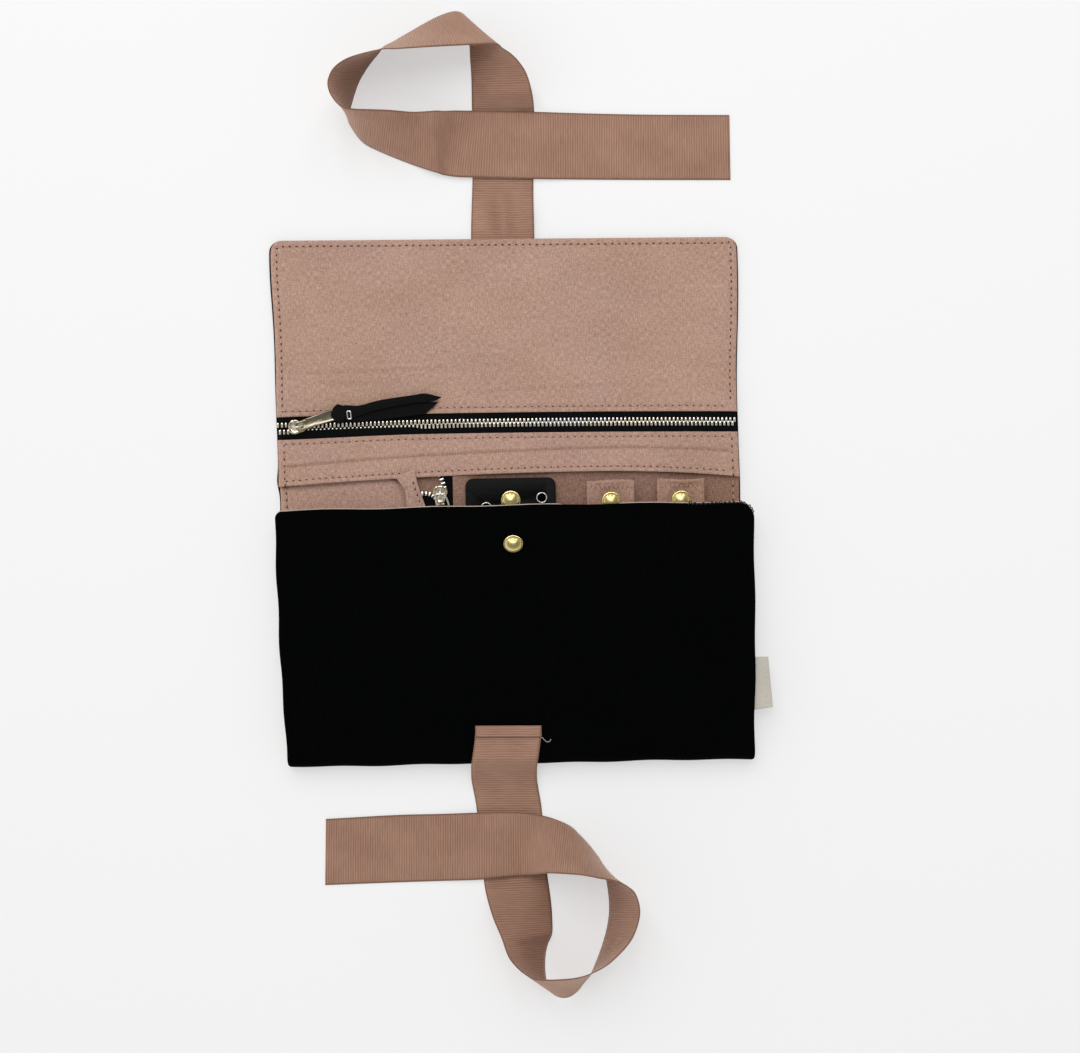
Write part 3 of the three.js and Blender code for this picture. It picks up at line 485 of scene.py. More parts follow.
x, y, edge = panel_grid(lining_left, lining_right, window_top, lining_end, 1.2, FLAP_CORNER)
above_zip = y - window_top(x)
z = LINING_TOP + WINDOW_RISE * (1 - smooth(above_zip / 26))
z = z - SEAM_DROP * rim(edge, SEAM_ROUND) - ZIP_DROP * rim(above_zip, ZIP_ROUND)
z = z - channel(edge - EDGE_STITCH) - channel(above_zip - ZIP_STITCH)
z = z + 0.28 * ripple(x, y * 1.6, 34, seed=11) * smooth(edge / 8)
z = z + 0.12 * ripple(x * 0.5, y * 2, 11, seed=12) * smooth(edge / 6)
for crease_y, slant, begin, end in ((133.5, 0.02, -118, -15), (128.6, -0.03, -112, -60), (121.5, 0.04, -30, 80)):
    along = smooth((x - begin) / 18) * smooth((end - x) / 30)
    off = y - crease_y - slant * (x - begin)
    z = z + along * (0.7 * ridge(off - 1.1, 1.2) - 0.4 * ridge(off + 0.9, 1.0))
upper_lining_points = np.stack([x, y, z], -1)
cloth("top_lining", upper_lining_points, outer_pink, ["upper_lining"], LINING,
      body="top_flap")


def hem_line(x):
    """Hem of the strip below the zip: two parabolas that meet at its crown."""
    crown = 42.0
    reach = np.where(x < crown, 151.0, 84.0)
    return 78.4 - 4.6 * ((x - crown) / reach) ** 2


HEM_STITCH = 2.7
x, y = panel_grid(lining_left, lining_right, hem_line, window_foot, 0.6)[:2]
edge = np.minimum(x - lining_left(y), lining_right(y) - x)
hem = y - hem_line(x)
below_zip = window_foot(x) - y
z = LINING_TOP + WINDOW_RISE + 0.6 * (1 - smooth(hem / 9)) - 2.1 * rim(edge, SEAM_ROUND)
z = z - ZIP_DROP * rim(below_zip, ZIP_ROUND) - 0.4 * rim(hem, 0.8)
z = z - channel(edge - EDGE_STITCH) - channel(below_zip - ZIP_STITCH + 0.5) - channel(hem - HEM_STITCH)
z = z + (0.16 * ripple(x, y * 2.2, 26, seed=21) - 1.3 * ridge(hem - 11.5 - x / 80, 1.0)) * smooth(edge / 8)
lower_lining_points = np.stack([x, y, z], -1)
cloth("zip_strip_lining", lower_lining_points, outer_pink, ["lower_lining"], STRIP,
      body="top_flap")

BACK_LOW = fold_y + 0.2
SPINE_LINING = 89.0
SIDE_WINDOW = 6.6
side_x, side_y = node_centre("side_zip_slider")[:2]
x, y = panel_grid(level(side_x + SIDE_WINDOW), lining_right, level(BACK_LOW), level(SPINE_LINING), 1.6)[:2]
right_edge = lining_right(y) - x
zip_edge = x - side_x - SIDE_WINDOW
z = LINING_TOP - 0.15 + 1.8 * (1 - smooth(zip_edge / 24)) * (1 - smooth((y - 80) / 8))
z = z - SEAM_DROP * rim(right_edge, SEAM_ROUND) - ZIP_DROP * rim(zip_edge, ZIP_ROUND)
z = z - channel(right_edge - EDGE_STITCH) + 0.14 * ripple(x * 1.5, y, 30, seed=31) * smooth(right_edge / 8)
middle_lining_points = np.stack([x, y, z], -1)
middle_lining = cloth("middle_panel_lining", middle_lining_points, shaded_pink, ["middle_lining"],
                      LINING)
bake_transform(middle_lining)


def facing_left(y):
    """Left edge of the pocket's facing, which turns left at its upper end."""
    return -54.4 - 1.6 * smooth((y - 52) / 16) - 5.6 * smooth((y - 68) / 12)


def facing_right(y):
    """Right edge of the pocket's facing, pushed left where the zip gapes."""
    return -43.2 - 7.2 * smooth((y - 50) / 31)


POCKET_TOP = 79.0
x, y = panel_grid(lining_left, lambda y: facing_right(y) - 0.8, level(BACK_LOW), level(POCKET_TOP), 1.2)[:2]
left_edge = x - lining_left(y)
z = LINING_TOP + 0.3 - SEAM_DROP * rim(left_edge, SEAM_ROUND) - channel(left_edge - EDGE_STITCH)
z = z + 0.2 * ripple(x, y * 1.3, 26, seed=41) * smooth(left_edge / 8)
z = z - 0.9 * ridge(y - hem_line(x) + 0.4, 1.8) - 0.8 * ridge(x - facing_left(y) + 0.3, 1.6)
pocket_points = np.stack([x, y, z], -1)
cloth("pocket_panel", pocket_points, outer_pink, ["side_pocket_panel"], LINING,
      body="back")

FACING_TOP = 77.2
FACING_LENGTH = 150
FACING_STITCH = 2.2
v = crowd(FACING_LENGTH, 1.2)[:, None]
u = crowd(11, 0.7)[None, :]
y = BACK_LOW + (FACING_TOP - BACK_LOW) * v + 4.2 * u * smooth((v - 0.8) / 0.2)
left_edge = facing_left(y)
right_edge = facing_right(y)
x = left_edge + (right_edge - left_edge) * u
edge = np.minimum(np.minimum(x - left_edge, right_edge - x), FACING_LENGTH * (1 - v))
z = LINING_TOP + 2.7 + 1.4 * smooth((y - 66) / 10) + 0.5 * ripple(x * 2.2, y, 13, seed=43) - 0.4 * rim(edge, 0.7)
z = z + 0.9 * ridge(x + 60.2 + 0.5 * (y - 75), 1.3) * smooth((y - 70) / 4) - channel(right_edge - x - FACING_STITCH)
z = z + 0.8 * ridge(x - left_edge - 0.8, 0.9)
facing_points = np.stack([x, y, z], -1)
cloth("pocket_facing", facing_points, outer_pink, [], FACING,
      body="back")


def front_lining_end(x):
    """Edge of the front flap's lining: it shows past the canvas, save for a length right of the middle."""
    return front_end(x) + 0.45 - 0.8 * smooth((x - 25) / 4) * smooth((60 - x) / 6)


front_lining_radius = fold_radius - 3.0
# The front flap's lining turns paler within 1.4 to 2.6 mm of its edges.
edge_pale_lining = linen("edge_pale_lining", *PINK)
tree = edge_pale_lining.node_tree
colour = tree.nodes["Principled BSDF"].inputs["Base Color"]
from_edge = add_node(tree, "ShaderNodeAttribute", attribute_name="from_edge").outputs["Fac"]
kept = add_node(tree, "ShaderNodeMapRange", in_Value=from_edge, in_From_Min=1.4, in_From_Max=2.6).outputs[0]
edge_tint = add_node(tree, "ShaderNodeMix", data_type="RGBA", in0=kept, in6=srgb(200, 186, 174),
                 in7=colour.links[0].from_socket)
tree.links.new(edge_tint.outputs[2], colour)
points, flat = folded_panel(front_lining_radius, -0.9, front_lining_end, 0.4)
front_lining = cloth("front_flap_lining", points, (edge_pale_lining, "pink_lining"), ["front_lining"],
                     LINING, 1, flat)
x, y = points[..., 0], points[..., 1]
edge = np.minimum(np.minimum(x - front_left(y), front_right(y) - x), front_lining_end(x) - y)
front_lining.data.attributes.new("from_edge", "FLOAT", "POINT").data.foreach_set("value", edge.ravel())
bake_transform(front_lining)

BACKING_ENDS = {"back_pocket_backing": ("back", 4), "top_pocket_backing": ("top_flap", -1)}
for node, (body, past_end) in BACKING_ENDS.items():
    low, high = node_box(node)
    x, y = panel_grid(level(low[0] + 1.5), level(high[0] - 3.5), level(low[1]), level(high[1] + past_end), 5.0, 4.0)[:2]
    z = high[2] - 0.1 + 0.1 * ripple(x, y, 22, seed=51)
    cloth(node.replace("backing", "inside"), np.stack([x, y, z], -1), shaded_pink, [node],
          BACKING, body=body)

# Topstitching
# Machine stitches in dusty-pink thread hold every edge of the lining. Between two stitches the thread dives through a
# needle hole, whose shade is painted as a dark brown dot.
STITCH_PITCH = 3.65
THREAD = 0.24
HOLE = 0.5
pink_thread = new_material("pink_thread", in_Base_Color=srgb(196, 158, 140), in_Roughness=0.6)[0]
# Dark brown painted shade for the inside of each needle hole.
needle_hole_shade = new_material("needle_hole_shade", in_Base_Color=srgb(88, 56, 45), in_Roughness=1.0)[0]


def along_path(path, pitch):
    """Places about a pitch apart along a line of points, its two ends among them."""
    steps = np.linalg.norm(np.diff(path, axis=0), axis=1)
    run = np.concatenate([[0], np.cumsum(steps)])
    count = max(2, int(round(run[-1] / pitch)) + 1)
    spots = np.linspace(0, run[-1], count)
    return np.stack([np.interp(spots, run, path[:, i]) for i in range(3)], -1)


def round_turn(count):
    """Angles that go once round, without the last, which is the first again."""
    return np.linspace(0, 2 * math.pi, count, endpoint=False)


def copies(name, rings, centres, ahead, up):
    """Copies of a small closed shape, a stack of rings of points, at each centre: its x runs ahead and its z up."""
    base = rings.reshape(-1, 3)
    side = np.cross(up, ahead)
    turned = base[:, 0, None] * ahead[:, None] + base[:, 1, None] * side[:, None] + base[:, 2, None] * up[:, None]
    quads, ends = grid_faces(*rings.shape[:2], True)
    first = np.arange(len(centres))[:, None, None] * len(base)
    faces = (quads + first).reshape(-1, 4).tolist() + (ends + first).reshape(-1, ends.shape[1]).tolist()
    return new_piece(name, centres[:, None] + turned, faces)


def thread_rings(half, sides=6):
    """Rings of one stitch: a tube along x, highest in its middle, whose thin ends dip into the cloth."""
    turn = round_turn(sides)
    stations = [(-half, -0.05, 0.1), (-half * 0.75, 0.12, THREAD), (0, 0.2, THREAD), (half * 0.75, 0.12, THREAD),
                (half, -0.05, 0.1)]
    return np.stack([np.column_stack([np.full(sides, x), r * np.cos(turn), z + r * np.sin(turn)])
                     for x, z, r in stations])


def stitch_row(name, path, body, pitch=STITCH_PITCH, hole=HOLE):
    """A row of stitches on a line of points, and between each two a dark oval of painted shade for the needle hole."""
    spots = along_path(path, pitch)
    step = np.diff(spots, axis=0)
    ahead = unit(step)
    up = np.broadcast_to([0.0, 0.0, 1.0], ahead.shape)
    up = unit(up - ahead * (up * ahead).sum(-1, keepdims=True))
    length = np.linalg.norm(step, axis=1).mean()
    row = copies(name, thread_rings(length * 0.36), (spots[1:] + spots[:-1]) / 2, ahead, up)
    dress(row, pink_thread, "pink_lining", body=body)
    turn = round_turn(8)
    oval = np.column_stack([1.8 * hole * np.cos(turn), 0.85 * hole * np.sin(turn)])
    # Each needle hole is a dark oval sheet of painted shade.
    holes = copies(f"{name}_holes", inset_rings(oval, [(0, -0.3), (0, 0.12)]), spots[:-1], ahead, up)
    dress(holes, needle_hole_shade, "pink_lining", body=body)


def on_surface(points, x, y):
    """Points at x and y lifted to the height of a cloth's grid of points, from its nearest grid point."""
    spots = points.reshape(-1, 3)
    place = np.stack([x, y], -1)
    nearest = ((spots[:, None, :2] - place) ** 2).sum(-1).argmin(0)
    return np.column_stack([place, spots[nearest, 2]])


def left_stitch(y):
    """Line of stitches along the lining's left edge."""
    return lining_left(y) + EDGE_STITCH


def right_stitch(y):
    """Line of stitches along the lining's right edge."""
    return lining_right(y) - EDGE_STITCH


sides_y = np.linspace(zip_y + 8, 199.5, 60)
end_x = np.linspace(left_stitch(sides_y[-1]) + 1, right_stitch(sides_y[-1]) - 1, 120)
edge_x = np.concatenate([left_stitch(sides_y), end_x, right_stitch(sides_y)[::-1]])
edge_y = np.concatenate([sides_y, lining_end(end_x) - EDGE_STITCH, sides_y[::-1]])
stitch_row("flap_edge_stitches", on_surface(upper_lining_points, edge_x, edge_y), "top_flap")
row_x = np.linspace(-119, 117, 120)
for name, points, row_y, pitch, hole in (
        ("upper_zip_stitches", upper_lining_points, window_top(row_x) + ZIP_STITCH, 3.75, 0.36),
        ("lower_zip_stitches", lower_lining_points, window_foot(row_x) - ZIP_STITCH + 0.5, 3.75, 0.36),
        ("hem_stitches", lower_lining_points, hem_line(row_x) + HEM_STITCH, 3.5, 0.4)):
    stitch_row(name, on_surface(points, row_x, row_y), "top_flap", pitch, hole)
for side, place in (("left", left_stitch), ("right", right_stitch)):
    run = np.linspace(float(hem_line(place(np.array(75.0)))) + 0.6, zip_y - 6.5, 30)
    stitch_row(f"strip_{side}_stitches", on_surface(lower_lining_points, place(run), run), "top_flap")
run = np.linspace(-66, 73, 90)
stitch_row("pocket_side_stitches", on_surface(pocket_points, left_stitch(run), run), "back")
stitch_row("middle_side_stitches", on_surface(middle_lining_points, right_stitch(run), run), "back")
run = np.linspace(-66, 77, 90)
stitch_row("facing_stitches", on_surface(facing_points, facing_right(run) - FACING_STITCH, run), "back", pitch=3.4)

# Main zip
# A metal zip sewn behind the window: two black woven tapes, each with a bead cord and a row of pale gold teeth that
# bite in turn. The rows part left of the slider. Right of it the chain rolls a little, so the lower row looks short.
TOOTH_PITCH = 2.15
TOOTH_LENGTH = 2.55
TOOTH_HALF_WIDTH = 0.56
TOOTH_HALF_HEIGHT = 0.85
TOOTH_REACH = 0.3
PARTED = 0.9
CHAIN_ROLL = 55
TAPE = 0.4
TAPE_Z = 4.7
TAPE_GAP = 0.1
TAPE_WIDTH = 11.0
GLOSS_SPREAD = 0.06


def metal(name, colour, roughness):
    """Plated metal whose gloss varies a little over the surface, with faint wear marks in its height."""
    material, tree, shader = new_material(name, in_Base_Color=srgb(*colour), in_Metallic=1.0)
    place = add_node(tree, "ShaderNodeTexCoord").outputs["Object"]
    cloud = add_node(tree, "ShaderNodeTexNoise", in_Vector=place, in_Scale=420.0, in_Detail=4.0).outputs[0]
    spread = add_node(tree, "ShaderNodeMapRange", in_Value=cloud, in_To_Min=roughness - GLOSS_SPREAD,
                      in_To_Max=roughness + GLOSS_SPREAD * 1.5)
    tree.links.new(spread.outputs[0], shader.inputs["Roughness"])
    add_relief(tree, shader, cloud, 0.012, 0.15)
    return material


def rounded_outline(left, right, low, high, radius, steps=8):
    """A rectangle with round corners, counter-clockwise from its lower right corner."""
    turn = np.linspace(0, math.pi / 2, steps)
    arc = radius * np.stack([np.cos(turn), np.sin(turn)], -1)
    quarters = [(right - radius, low + radius, -1), (right - radius, high - radius, 0),
                (left + radius, high - radius, 1), (left + radius, low + radius, 2)]
    corners = []
    for x, y, quarter in quarters:
        c, s = math.cos(quarter * math.pi / 2), math.sin(quarter * math.pi / 2)
        corners.append(np.array([x, y]) + arc @ np.array([[c, s], [-s, c]]))
    return np.concatenate(corners)


def parting(x):
    """How far each row stands off the closed chain: PARTED left of the slider, and nothing right of it."""
    return PARTED * (1 - smooth((x - slider_x + 3) / 6))


zip_gold = metal("zip_gold", (236, 230, 214), 0.2)
# The sliders take a darker copy of the teeth's pale gold: painted shade, for the darker look that the slider's crevices
# and reflections give it.
shaded_slider_gold = metal("shaded_slider_gold", (222, 213, 192), 0.14)
zip_tape = woven("zip_tape", srgb(4, 4, 5), srgb(14, 14, 15), pitch=0.5, slub=2, depth=0.15,
                 in_Roughness=0.9, in_Specular_IOR_Level=0.1)
tape_finish = (zip_tape, "zip_tape")
tooth_rings = inset_rings(
    rounded_outline(-TOOTH_HALF_WIDTH, TOOTH_HALF_WIDTH, -TOOTH_LENGTH / 2, TOOTH_LENGTH / 2, 0.3, 3),
    [(0.22, -TOOTH_HALF_HEIGHT), (0, -TOOTH_HALF_HEIGHT + 0.25), (0, TOOTH_HALF_HEIGHT - 0.3),
     (0.12, TOOTH_HALF_HEIGHT - 0.08), (0.3, TOOTH_HALF_HEIGHT)])
teeth_low, teeth_high = node_box("zip_teeth_upper")
tape_start = float(lining_left(np.array(zip_y))) + 0.5
tape_end = float(lining_right(np.array(zip_y))) - 0.5
for side, label, begin in ((1, "upper", 0.3), (-1, "lower", 0.8)):
    run = np.arange(teeth_low[0] + (begin - 1) * TOOTH_PITCH, teeth_high[0] - 1, TOOTH_PITCH)
    turned = (1 - smooth((run + 100) / 95)) * smooth((run - slider_x) / 6) * (side < 0)
    roll = np.radians(CHAIN_ROLL) * turned
    reach = TOOTH_REACH - 0.75 * turned
    inner_end = np.stack([run, zip_line(run) + side * (parting(run) - reach), np.full_like(run, TAPE_Z)], -1)
    centres = inner_end + TOOTH_LENGTH / 2 * np.stack([0 * run, side * np.cos(roll), -np.sin(roll)], -1)
    ahead = np.tile([1.0, 0.0, 0.0], (len(run), 1))
    up = np.stack([0 * run, side * np.sin(roll), np.cos(roll)], -1)
    row = copies(f"zip_teeth_{label}_row", tooth_rings, centres, ahead, up)
    dress(row, zip_gold, "zip_metal", f"zip_teeth_{label}", body="top_flap")

    length = np.linspace(tape_start, tape_end, 150)[:, None]
    across = TAPE_GAP + (TAPE_WIDTH - TAPE_GAP) * np.array([0, 0.06, 0.13, 0.2, 0.3, 0.45, 0.7, 1.0])
    bead = 0.4 * ridge(across - TAPE_GAP - 1.2, 0.8)
    ends = rim(np.minimum(length - tape_start, tape_end - length), 3.0)
    drop = 0.8 * smooth((across - 4.5) / 5) + 1.6 * ends
    grid = np.stack(np.broadcast_arrays(length, zip_line(length) + side * across, TAPE_Z - 0.15 + bead - drop), -1)
    cloth(f"zip_tape_{label}_cloth", grid[:, ::-1] if side > 0 else grid, tape_finish, [f"zip_tape_{label}"],
          TAPE, body="top_flap")

# Zip sliders
# Each slider is a pale gold casting: two plates round the chain, joined by a post, their side flanges turned towards
# each other, with a bridge on top that holds the pull.
SLIDER_FRONT = 4.7
SLIDER_TAIL = 3.5
SLIDER_HALF = 5.5
SLIDER_SIZE = 0.88
PLATE_HIGH = 6.5
PLATE_LOW = 3.4


def slider_half_width(along):
    """Half the width of a slider's plate, wide in front and narrower from its waist to its tail."""
    return SLIDER_TAIL + (SLIDER_FRONT - SLIDER_TAIL) * (1 - smooth((along + 2.4) / 5.0))


def slider_outline():
    """Outline of a slider's plate: a rounded box, cos^0.85 long by sin^0.75 wide."""
    t = round_turn(48)
    along = SLIDER_HALF * np.sign(np.cos(t)) * np.abs(np.cos(t)) ** 0.85
    across = slider_half_width(along) * np.sign(np.sin(t)) * np.abs(np.sin(t)) ** 0.75
    return np.stack([along, across], -1)


def joined(name, parts):
    """One object out of several."""
    with bpy.context.temp_override(active_object=parts[0], selected_editable_objects=parts):
        bpy.ops.object.join()
    parts[0].name = name
    return parts[0]


def sweep(name, path, radius, sides=10):
    """A closed round rod along a path of points: rings square to the path, its ends capped."""
    ahead = unit(np.gradient(path, axis=0))
    guide = np.array([0.0, 0.0, 1.0]) if np.abs(ahead[:, 2]).max() < 0.9 else np.array([0.0, 1.0, 0.0])
    across = unit(np.cross(ahead, guide))
    up = np.cross(across, ahead)
    turn = round_turn(sides)[None, :, None]
    ring = np.cos(turn) * across[:, None] + np.sin(turn) * up[:, None]
    return surface(name, path[:, None] + radius * ring, wrap=True, capped=True)


def make_slider(name, node, body, centre, turn):
    """A slider at a centre, its tail turned to an angle in the plane of the cloth."""
    top = [(0.5, -0.85), (0, -0.6), (0, -0.2), (0.2, 0.15), (0.5, 0.25), (0.8, 0.1), (1.3, -0.45), (2.2, -0.5)]
    low = [(0.6, -0.45), (0.1, -0.3), (0, 0), (0.3, 0.3)]
    parts = [slab(f"{name}_top", slider_outline(), [(inset, PLATE_HIGH + z) for inset, z in top]),
             slab(f"{name}_low", slider_outline(), [(inset, PLATE_LOW + z) for inset, z in low])]
    along = np.linspace(-3.8, 3.8, 16)
    half = slider_half_width(along) - 0.9
    for side in (-1, 1):
        for z in (PLATE_HIGH - 1.1, PLATE_LOW + 0.2):
            wall = np.stack([along, side * half, np.full_like(along, z)], -1)
            parts.append(sweep(f"{name}_flange", wall, 0.42, 8))
    post = slab(f"{name}_post", rounded_outline(-4.9, -2.9, -0.5, 0.5, 0.45, 4),
                [(0, PLATE_LOW - 0.2), (0, PLATE_HIGH - 0.2)])
    arch = np.linspace(0, math.pi, 15)
    bridge = np.stack([-2.6 * np.cos(arch), np.zeros(15), PLATE_HIGH - 0.1 + 1.8 * np.sin(arch) ** 0.6], -1)
    slider = joined(name, [*parts, post, sweep(f"{name}_bridge", bridge, 0.62)])
    c, s = SLIDER_SIZE * math.cos(turn), SLIDER_SIZE * math.sin(turn)
    co = np.empty(len(slider.data.vertices) * 3)
    slider.data.vertices.foreach_get("co", co)
    co = co.reshape(-1, 3) @ np.array([[c, s, 0], [-s, c, 0], [0, 0, 1]]) + np.array([*centre, 0]) * MM
    slider.data.vertices.foreach_set("co", co.ravel())
    dress(slider, shaded_slider_gold, "zip_metal", node, body=body)


make_slider("main_zip_slider", "zip_slider", "main_slider", (slider_x, zip_y), 0)
make_slider("pocket_zip_slider", "side_zip_slider", "side_slider", (side_x, side_y), -math.pi / 2)

# Pull of the main zip
# A flat metal tab hooked under the slider's bridge, and a strip of black cotton knotted through its end. The strip's
# two ends lie one on the other, cut to a slant, and a small steel clip grips its neck.
PULL_Z = 7.4
TAB_TURN = math.radians(18)
KNOT_PLACE = 23.4
KNOT_SIZE = 4.6
LEAF = 0.5
antique_gold = metal("antique_gold", (140, 131, 112), 0.12)
steel = metal("steel", (205, 203, 198), 0.18)
pull_cotton = woven("pull_cotton", srgb(3, 3, 4), srgb(10, 10, 11), pitch=0.5, slub=5, depth=0.14,
                    in_Roughness=0.85, in_Specular_IOR_Level=0.15)
tab_ahead = np.array([math.cos(TAB_TURN), math.sin(TAB_TURN)])
tab_side = np.array([-tab_ahead[1], tab_ahead[0]])


def by_tab(along, across, z):
    """Points along and across the tab, from the slider's bridge."""
    along, across, z = np.broadcast_arrays(along, across, z)
    place = np.array([slider_x, zip_y]) + along[..., None] * tab_ahead + across[..., None] * tab_side
    return np.concatenate([place, z[..., None]], -1)


tab_outline = np.array([[4.0, -2.7], [12, -2.8], [19.6, -3.15], [20.6, -2.9], [21, -2.2], [21, 2.2], [20.6, 2.9],
                        [19.6, 3.15], [12, 2.8], [4.0, 2.7], [3.2, 2.1], [3.0, 0], [3.2, -2.1]])
tab_sections = [(0.35, -0.5), (0, -0.3), (0, 0.1), (0.2, 0.4), (0.4, 0.5), (0.55, 0.5), (0.8, 0.35), (1.0, 0.33)]
tab_plate = slab("tab_plate", by_tab(tab_outline[:, 0], tab_outline[:, 1], 0.0)[:, :2],
                 [(inset, PULL_Z + z) for inset, z in tab_sections])
bend = np.linspace(-0.5, 0.5, 9) * math.pi
hook_along = np.concatenate([[5.5, 3.0], 0.6 - 1.2 * np.cos(bend), [3.0, 5.5]])
hook_across = np.concatenate([[-1.9, -2.0], 2.0 * np.sin(bend), [2.0, 1.9]])
tab_hook = sweep("tab_hook", by_tab(hook_along, hook_across, PULL_Z), 0.55)
pull_tab = joined("zip_tab", [tab_plate, tab_hook])
dress(pull_tab, antique_gold, "steel", "zip_pull_tab", body="zip_pull")


def spline(points, count):
    """A smooth line through points: a cubic between each two, with the slope at each from its two neighbours."""
    points = np.asarray(points, float)
    gap = np.sqrt(np.linalg.norm(np.diff(points[:, :3], axis=0), axis=1))
    knot = np.concatenate([[0], np.cumsum(gap)])
    rate = np.diff(points, axis=0) / gap[:, None]
    inner = (rate[:-1] * gap[1:, None] + rate[1:] * gap[:-1, None]) / (gap[:-1] + gap[1:])[:, None]
    slope = np.concatenate([rate[:1], inner, rate[-1:]])
    t = np.linspace(0, knot[-1], count)
    i = np.clip(np.searchsorted(knot, t, side="right") - 1, 0, len(gap) - 1)
    s = ((t - knot[i]) / gap[i])[:, None]
    h = gap[i][:, None]
    return ((2 * s ** 3 - 3 * s ** 2 + 1) * points[i] + (s ** 3 - 2 * s ** 2 + s) * h * slope[i]
            + (3 * s ** 2 - 2 * s ** 3) * points[i + 1] + (s ** 3 - s ** 2) * h * slope[i + 1])


def leaf(upper, lower, crown):
    """Points of cloth between two edge lines: straight from edge to edge in plan, raised by crown in the middle."""
    top = spline(upper, 60)
    low = spline(lower, 60)
    share = np.linspace(0, 1, 13)[None, :, None]
    points = low[:, None] * (1 - share) + top[:, None] * share
    points[..., 2] += crown * (1 - np.abs(2 * share[..., 0] - 1) ** 1.5)
    points[..., 2] += 0.12 * ripple(points[..., 0] * 2, points[..., 1] * 2, 9, seed=61)
    return points[:, ::-1]


top_leaf_points = leaf([(-93.5, 113.4, 7.3), (-88, 115.6, 7.6), (-80, 115.4, 7.7), (-70, 117.8, 7.8), (-61, 119.2, 7.6),
                        (-50, 120.6, 7.5), (-45.0, 121.3, 7.4), (-36, 119.2, 7.3)],
                       [(-93, 109.0, 7.3), (-87, 107.9, 7.5), (-80, 109.9, 7.8), (-70, 112.8, 8.0), (-54, 115.7, 7.8),
                        (-46, 116.5, 7.6), (-40, 117.1, 7.4), (-37, 118.3, 7.3)], 0.6)
low_leaf_points = leaf([(-88, 112.0, 6.5), (-75, 113.5, 6.6), (-60, 116.0, 6.5), (-50, 117, 6.4), (-37.6, 116.6, 6.4)],
                       [(-88, 106.6, 6.5), (-80.5, 106.6, 6.6), (-62, 108.4, 6.5), (-52, 109.6, 6.4),
                        (-44.4, 110.4, 6.4)], 0.3)
pull_finish = (pull_cotton, "black_cotton")
cloth("pull_top_leaf", top_leaf_points, pull_finish, ["zip_pull_strip"], LEAF,
      body="zip_pull")
cloth("pull_low_leaf", low_leaf_points, pull_finish, [], LEAF, body="zip_pull")
turn = round_turn(28)
row = np.linspace(-0.97, 0.97, 15)[:, None]
girth = np.sqrt(1 - row ** 2) * (1 + 0.1 * np.sin(3 * turn + 4 * row) + 0.06 * np.sin(7 * turn))
knot_points = by_tab(KNOT_PLACE + KNOT_SIZE * row, KNOT_SIZE * girth * np.cos(turn) - 0.7,
                     PULL_Z + 1.4 * girth * np.sin(turn))[:, ::-1]
knot = surface("pull_knot", knot_points, knot_points[..., :2], wrap=True, capped=True)
dress(knot, *pull_finish, body="zip_pull")
clip_centre = np.array([-84.9, 110.4, 8.25])
clip_ring = 0.62 * rounded_outline(-1.5, 1.5, -3.2, 3.2, 0.7, 4)
clip_ring = np.vstack([clip_ring, clip_ring[:1]])
clip_x, clip_y = clip_ring.T
clip_path = clip_centre + np.column_stack([clip_x - 0.12 * clip_y, clip_y, 0.35 - 0.1 * clip_y ** 2])
clip = sweep("neck_clip", clip_path, 0.42, 8)
dress(clip, steel, "steel", "zip_pull_clip", body="zip_pull")

# Side zip
# The pocket's own zip runs down beside its panel, with the same chain. Above its slider the rows part: the left tape
# is pushed aside with the facing, so the mouth gapes, and the right one runs up to the spine.
SIDE_LOW = -55.5
WIRE = 0.6
WIRE_HALF = 2.9
WIRE_SLANT = 0.24
left_row = spline([(side_x, SIDE_LOW), (side_x, 20), (side_x, 52), (side_x - 0.2, 61.5), (side_x - 1.6, 66),
                   (side_x - 5.2, 68.6), (side_x - 9.8, 69.0), (side_x - 14, 68.6)], 240)
right_row = spline([(side_x, SIDE_LOW), (side_x, 20), (side_x, 54), (side_x + 0.2, 63), (side_x + 1.4, 69),
                    (side_x + 0.6, 73), (side_x - 0.9, 77.2)], 240)
for label, row, side, first, outer_x, outer_top in (("left", left_row, -1, 0, side_x - 13.0, 60),
                                                    ("right", right_row, 1, 4, side_x + 9.5, 76)):
    spots = along_path(np.column_stack([row, np.full(len(row), TAPE_Z)])[first:], TOOTH_PITCH)
    ahead = unit(np.gradient(spots, axis=0))
    outward = side * np.stack([ahead[:, 1], -ahead[:, 0], np.zeros(len(ahead))], -1)
    up = np.tile([0.0, 0.0, 1.0], (len(spots), 1))
    centres = spots + outward * (TOOTH_LENGTH / 2 - TOOTH_REACH)
    teeth = copies(f"pocket_zip_teeth_{label}", tooth_rings, centres, ahead, up)
    dress(teeth, zip_gold, "zip_metal", f"side_zip_teeth_{label}", body="back")

    direction = unit(np.gradient(row, axis=0))
    normal = side * np.stack([direction[:, 1], -direction[:, 0]], -1)
    inner = row + normal * 0.9
    outer = np.column_stack([np.full(len(row), outer_x), np.linspace(SIDE_LOW, outer_top, len(row))])
    share = np.array([0, 0.06, 0.12, 0.2, 0.3, 0.5, 0.75, 1.0])
    plan = inner[:, None] * (1 - share[:, None]) + outer[:, None] * share[:, None]
    bead = 0.5 * ridge(share * 12 - 0.9, 0.8)
    points = np.concatenate([plan, np.broadcast_to(TAPE_Z - 0.15 + bead, plan.shape[:2])[..., None]], -1)
    cloth(f"pocket_zip_tape_{label}", points[:, ::-1] if side < 0 else points, tape_finish,
          [f"side_zip_tape_{label}"], TAPE,
          body="back")

stop_low, stop_high = node_box("side_zip_stop")
stop = slab("pocket_zip_stop", rounded_outline(stop_low[0], stop_high[0], stop_low[1], stop_high[1], 0.6, 4),
            [(0.2, stop_low[2]), (0, stop_low[2] + 0.2), (0, stop_high[2] - 0.25), (0.3, stop_high[2])])
dress(stop, zip_gold, "zip_metal", "side_zip_stop", body="back")

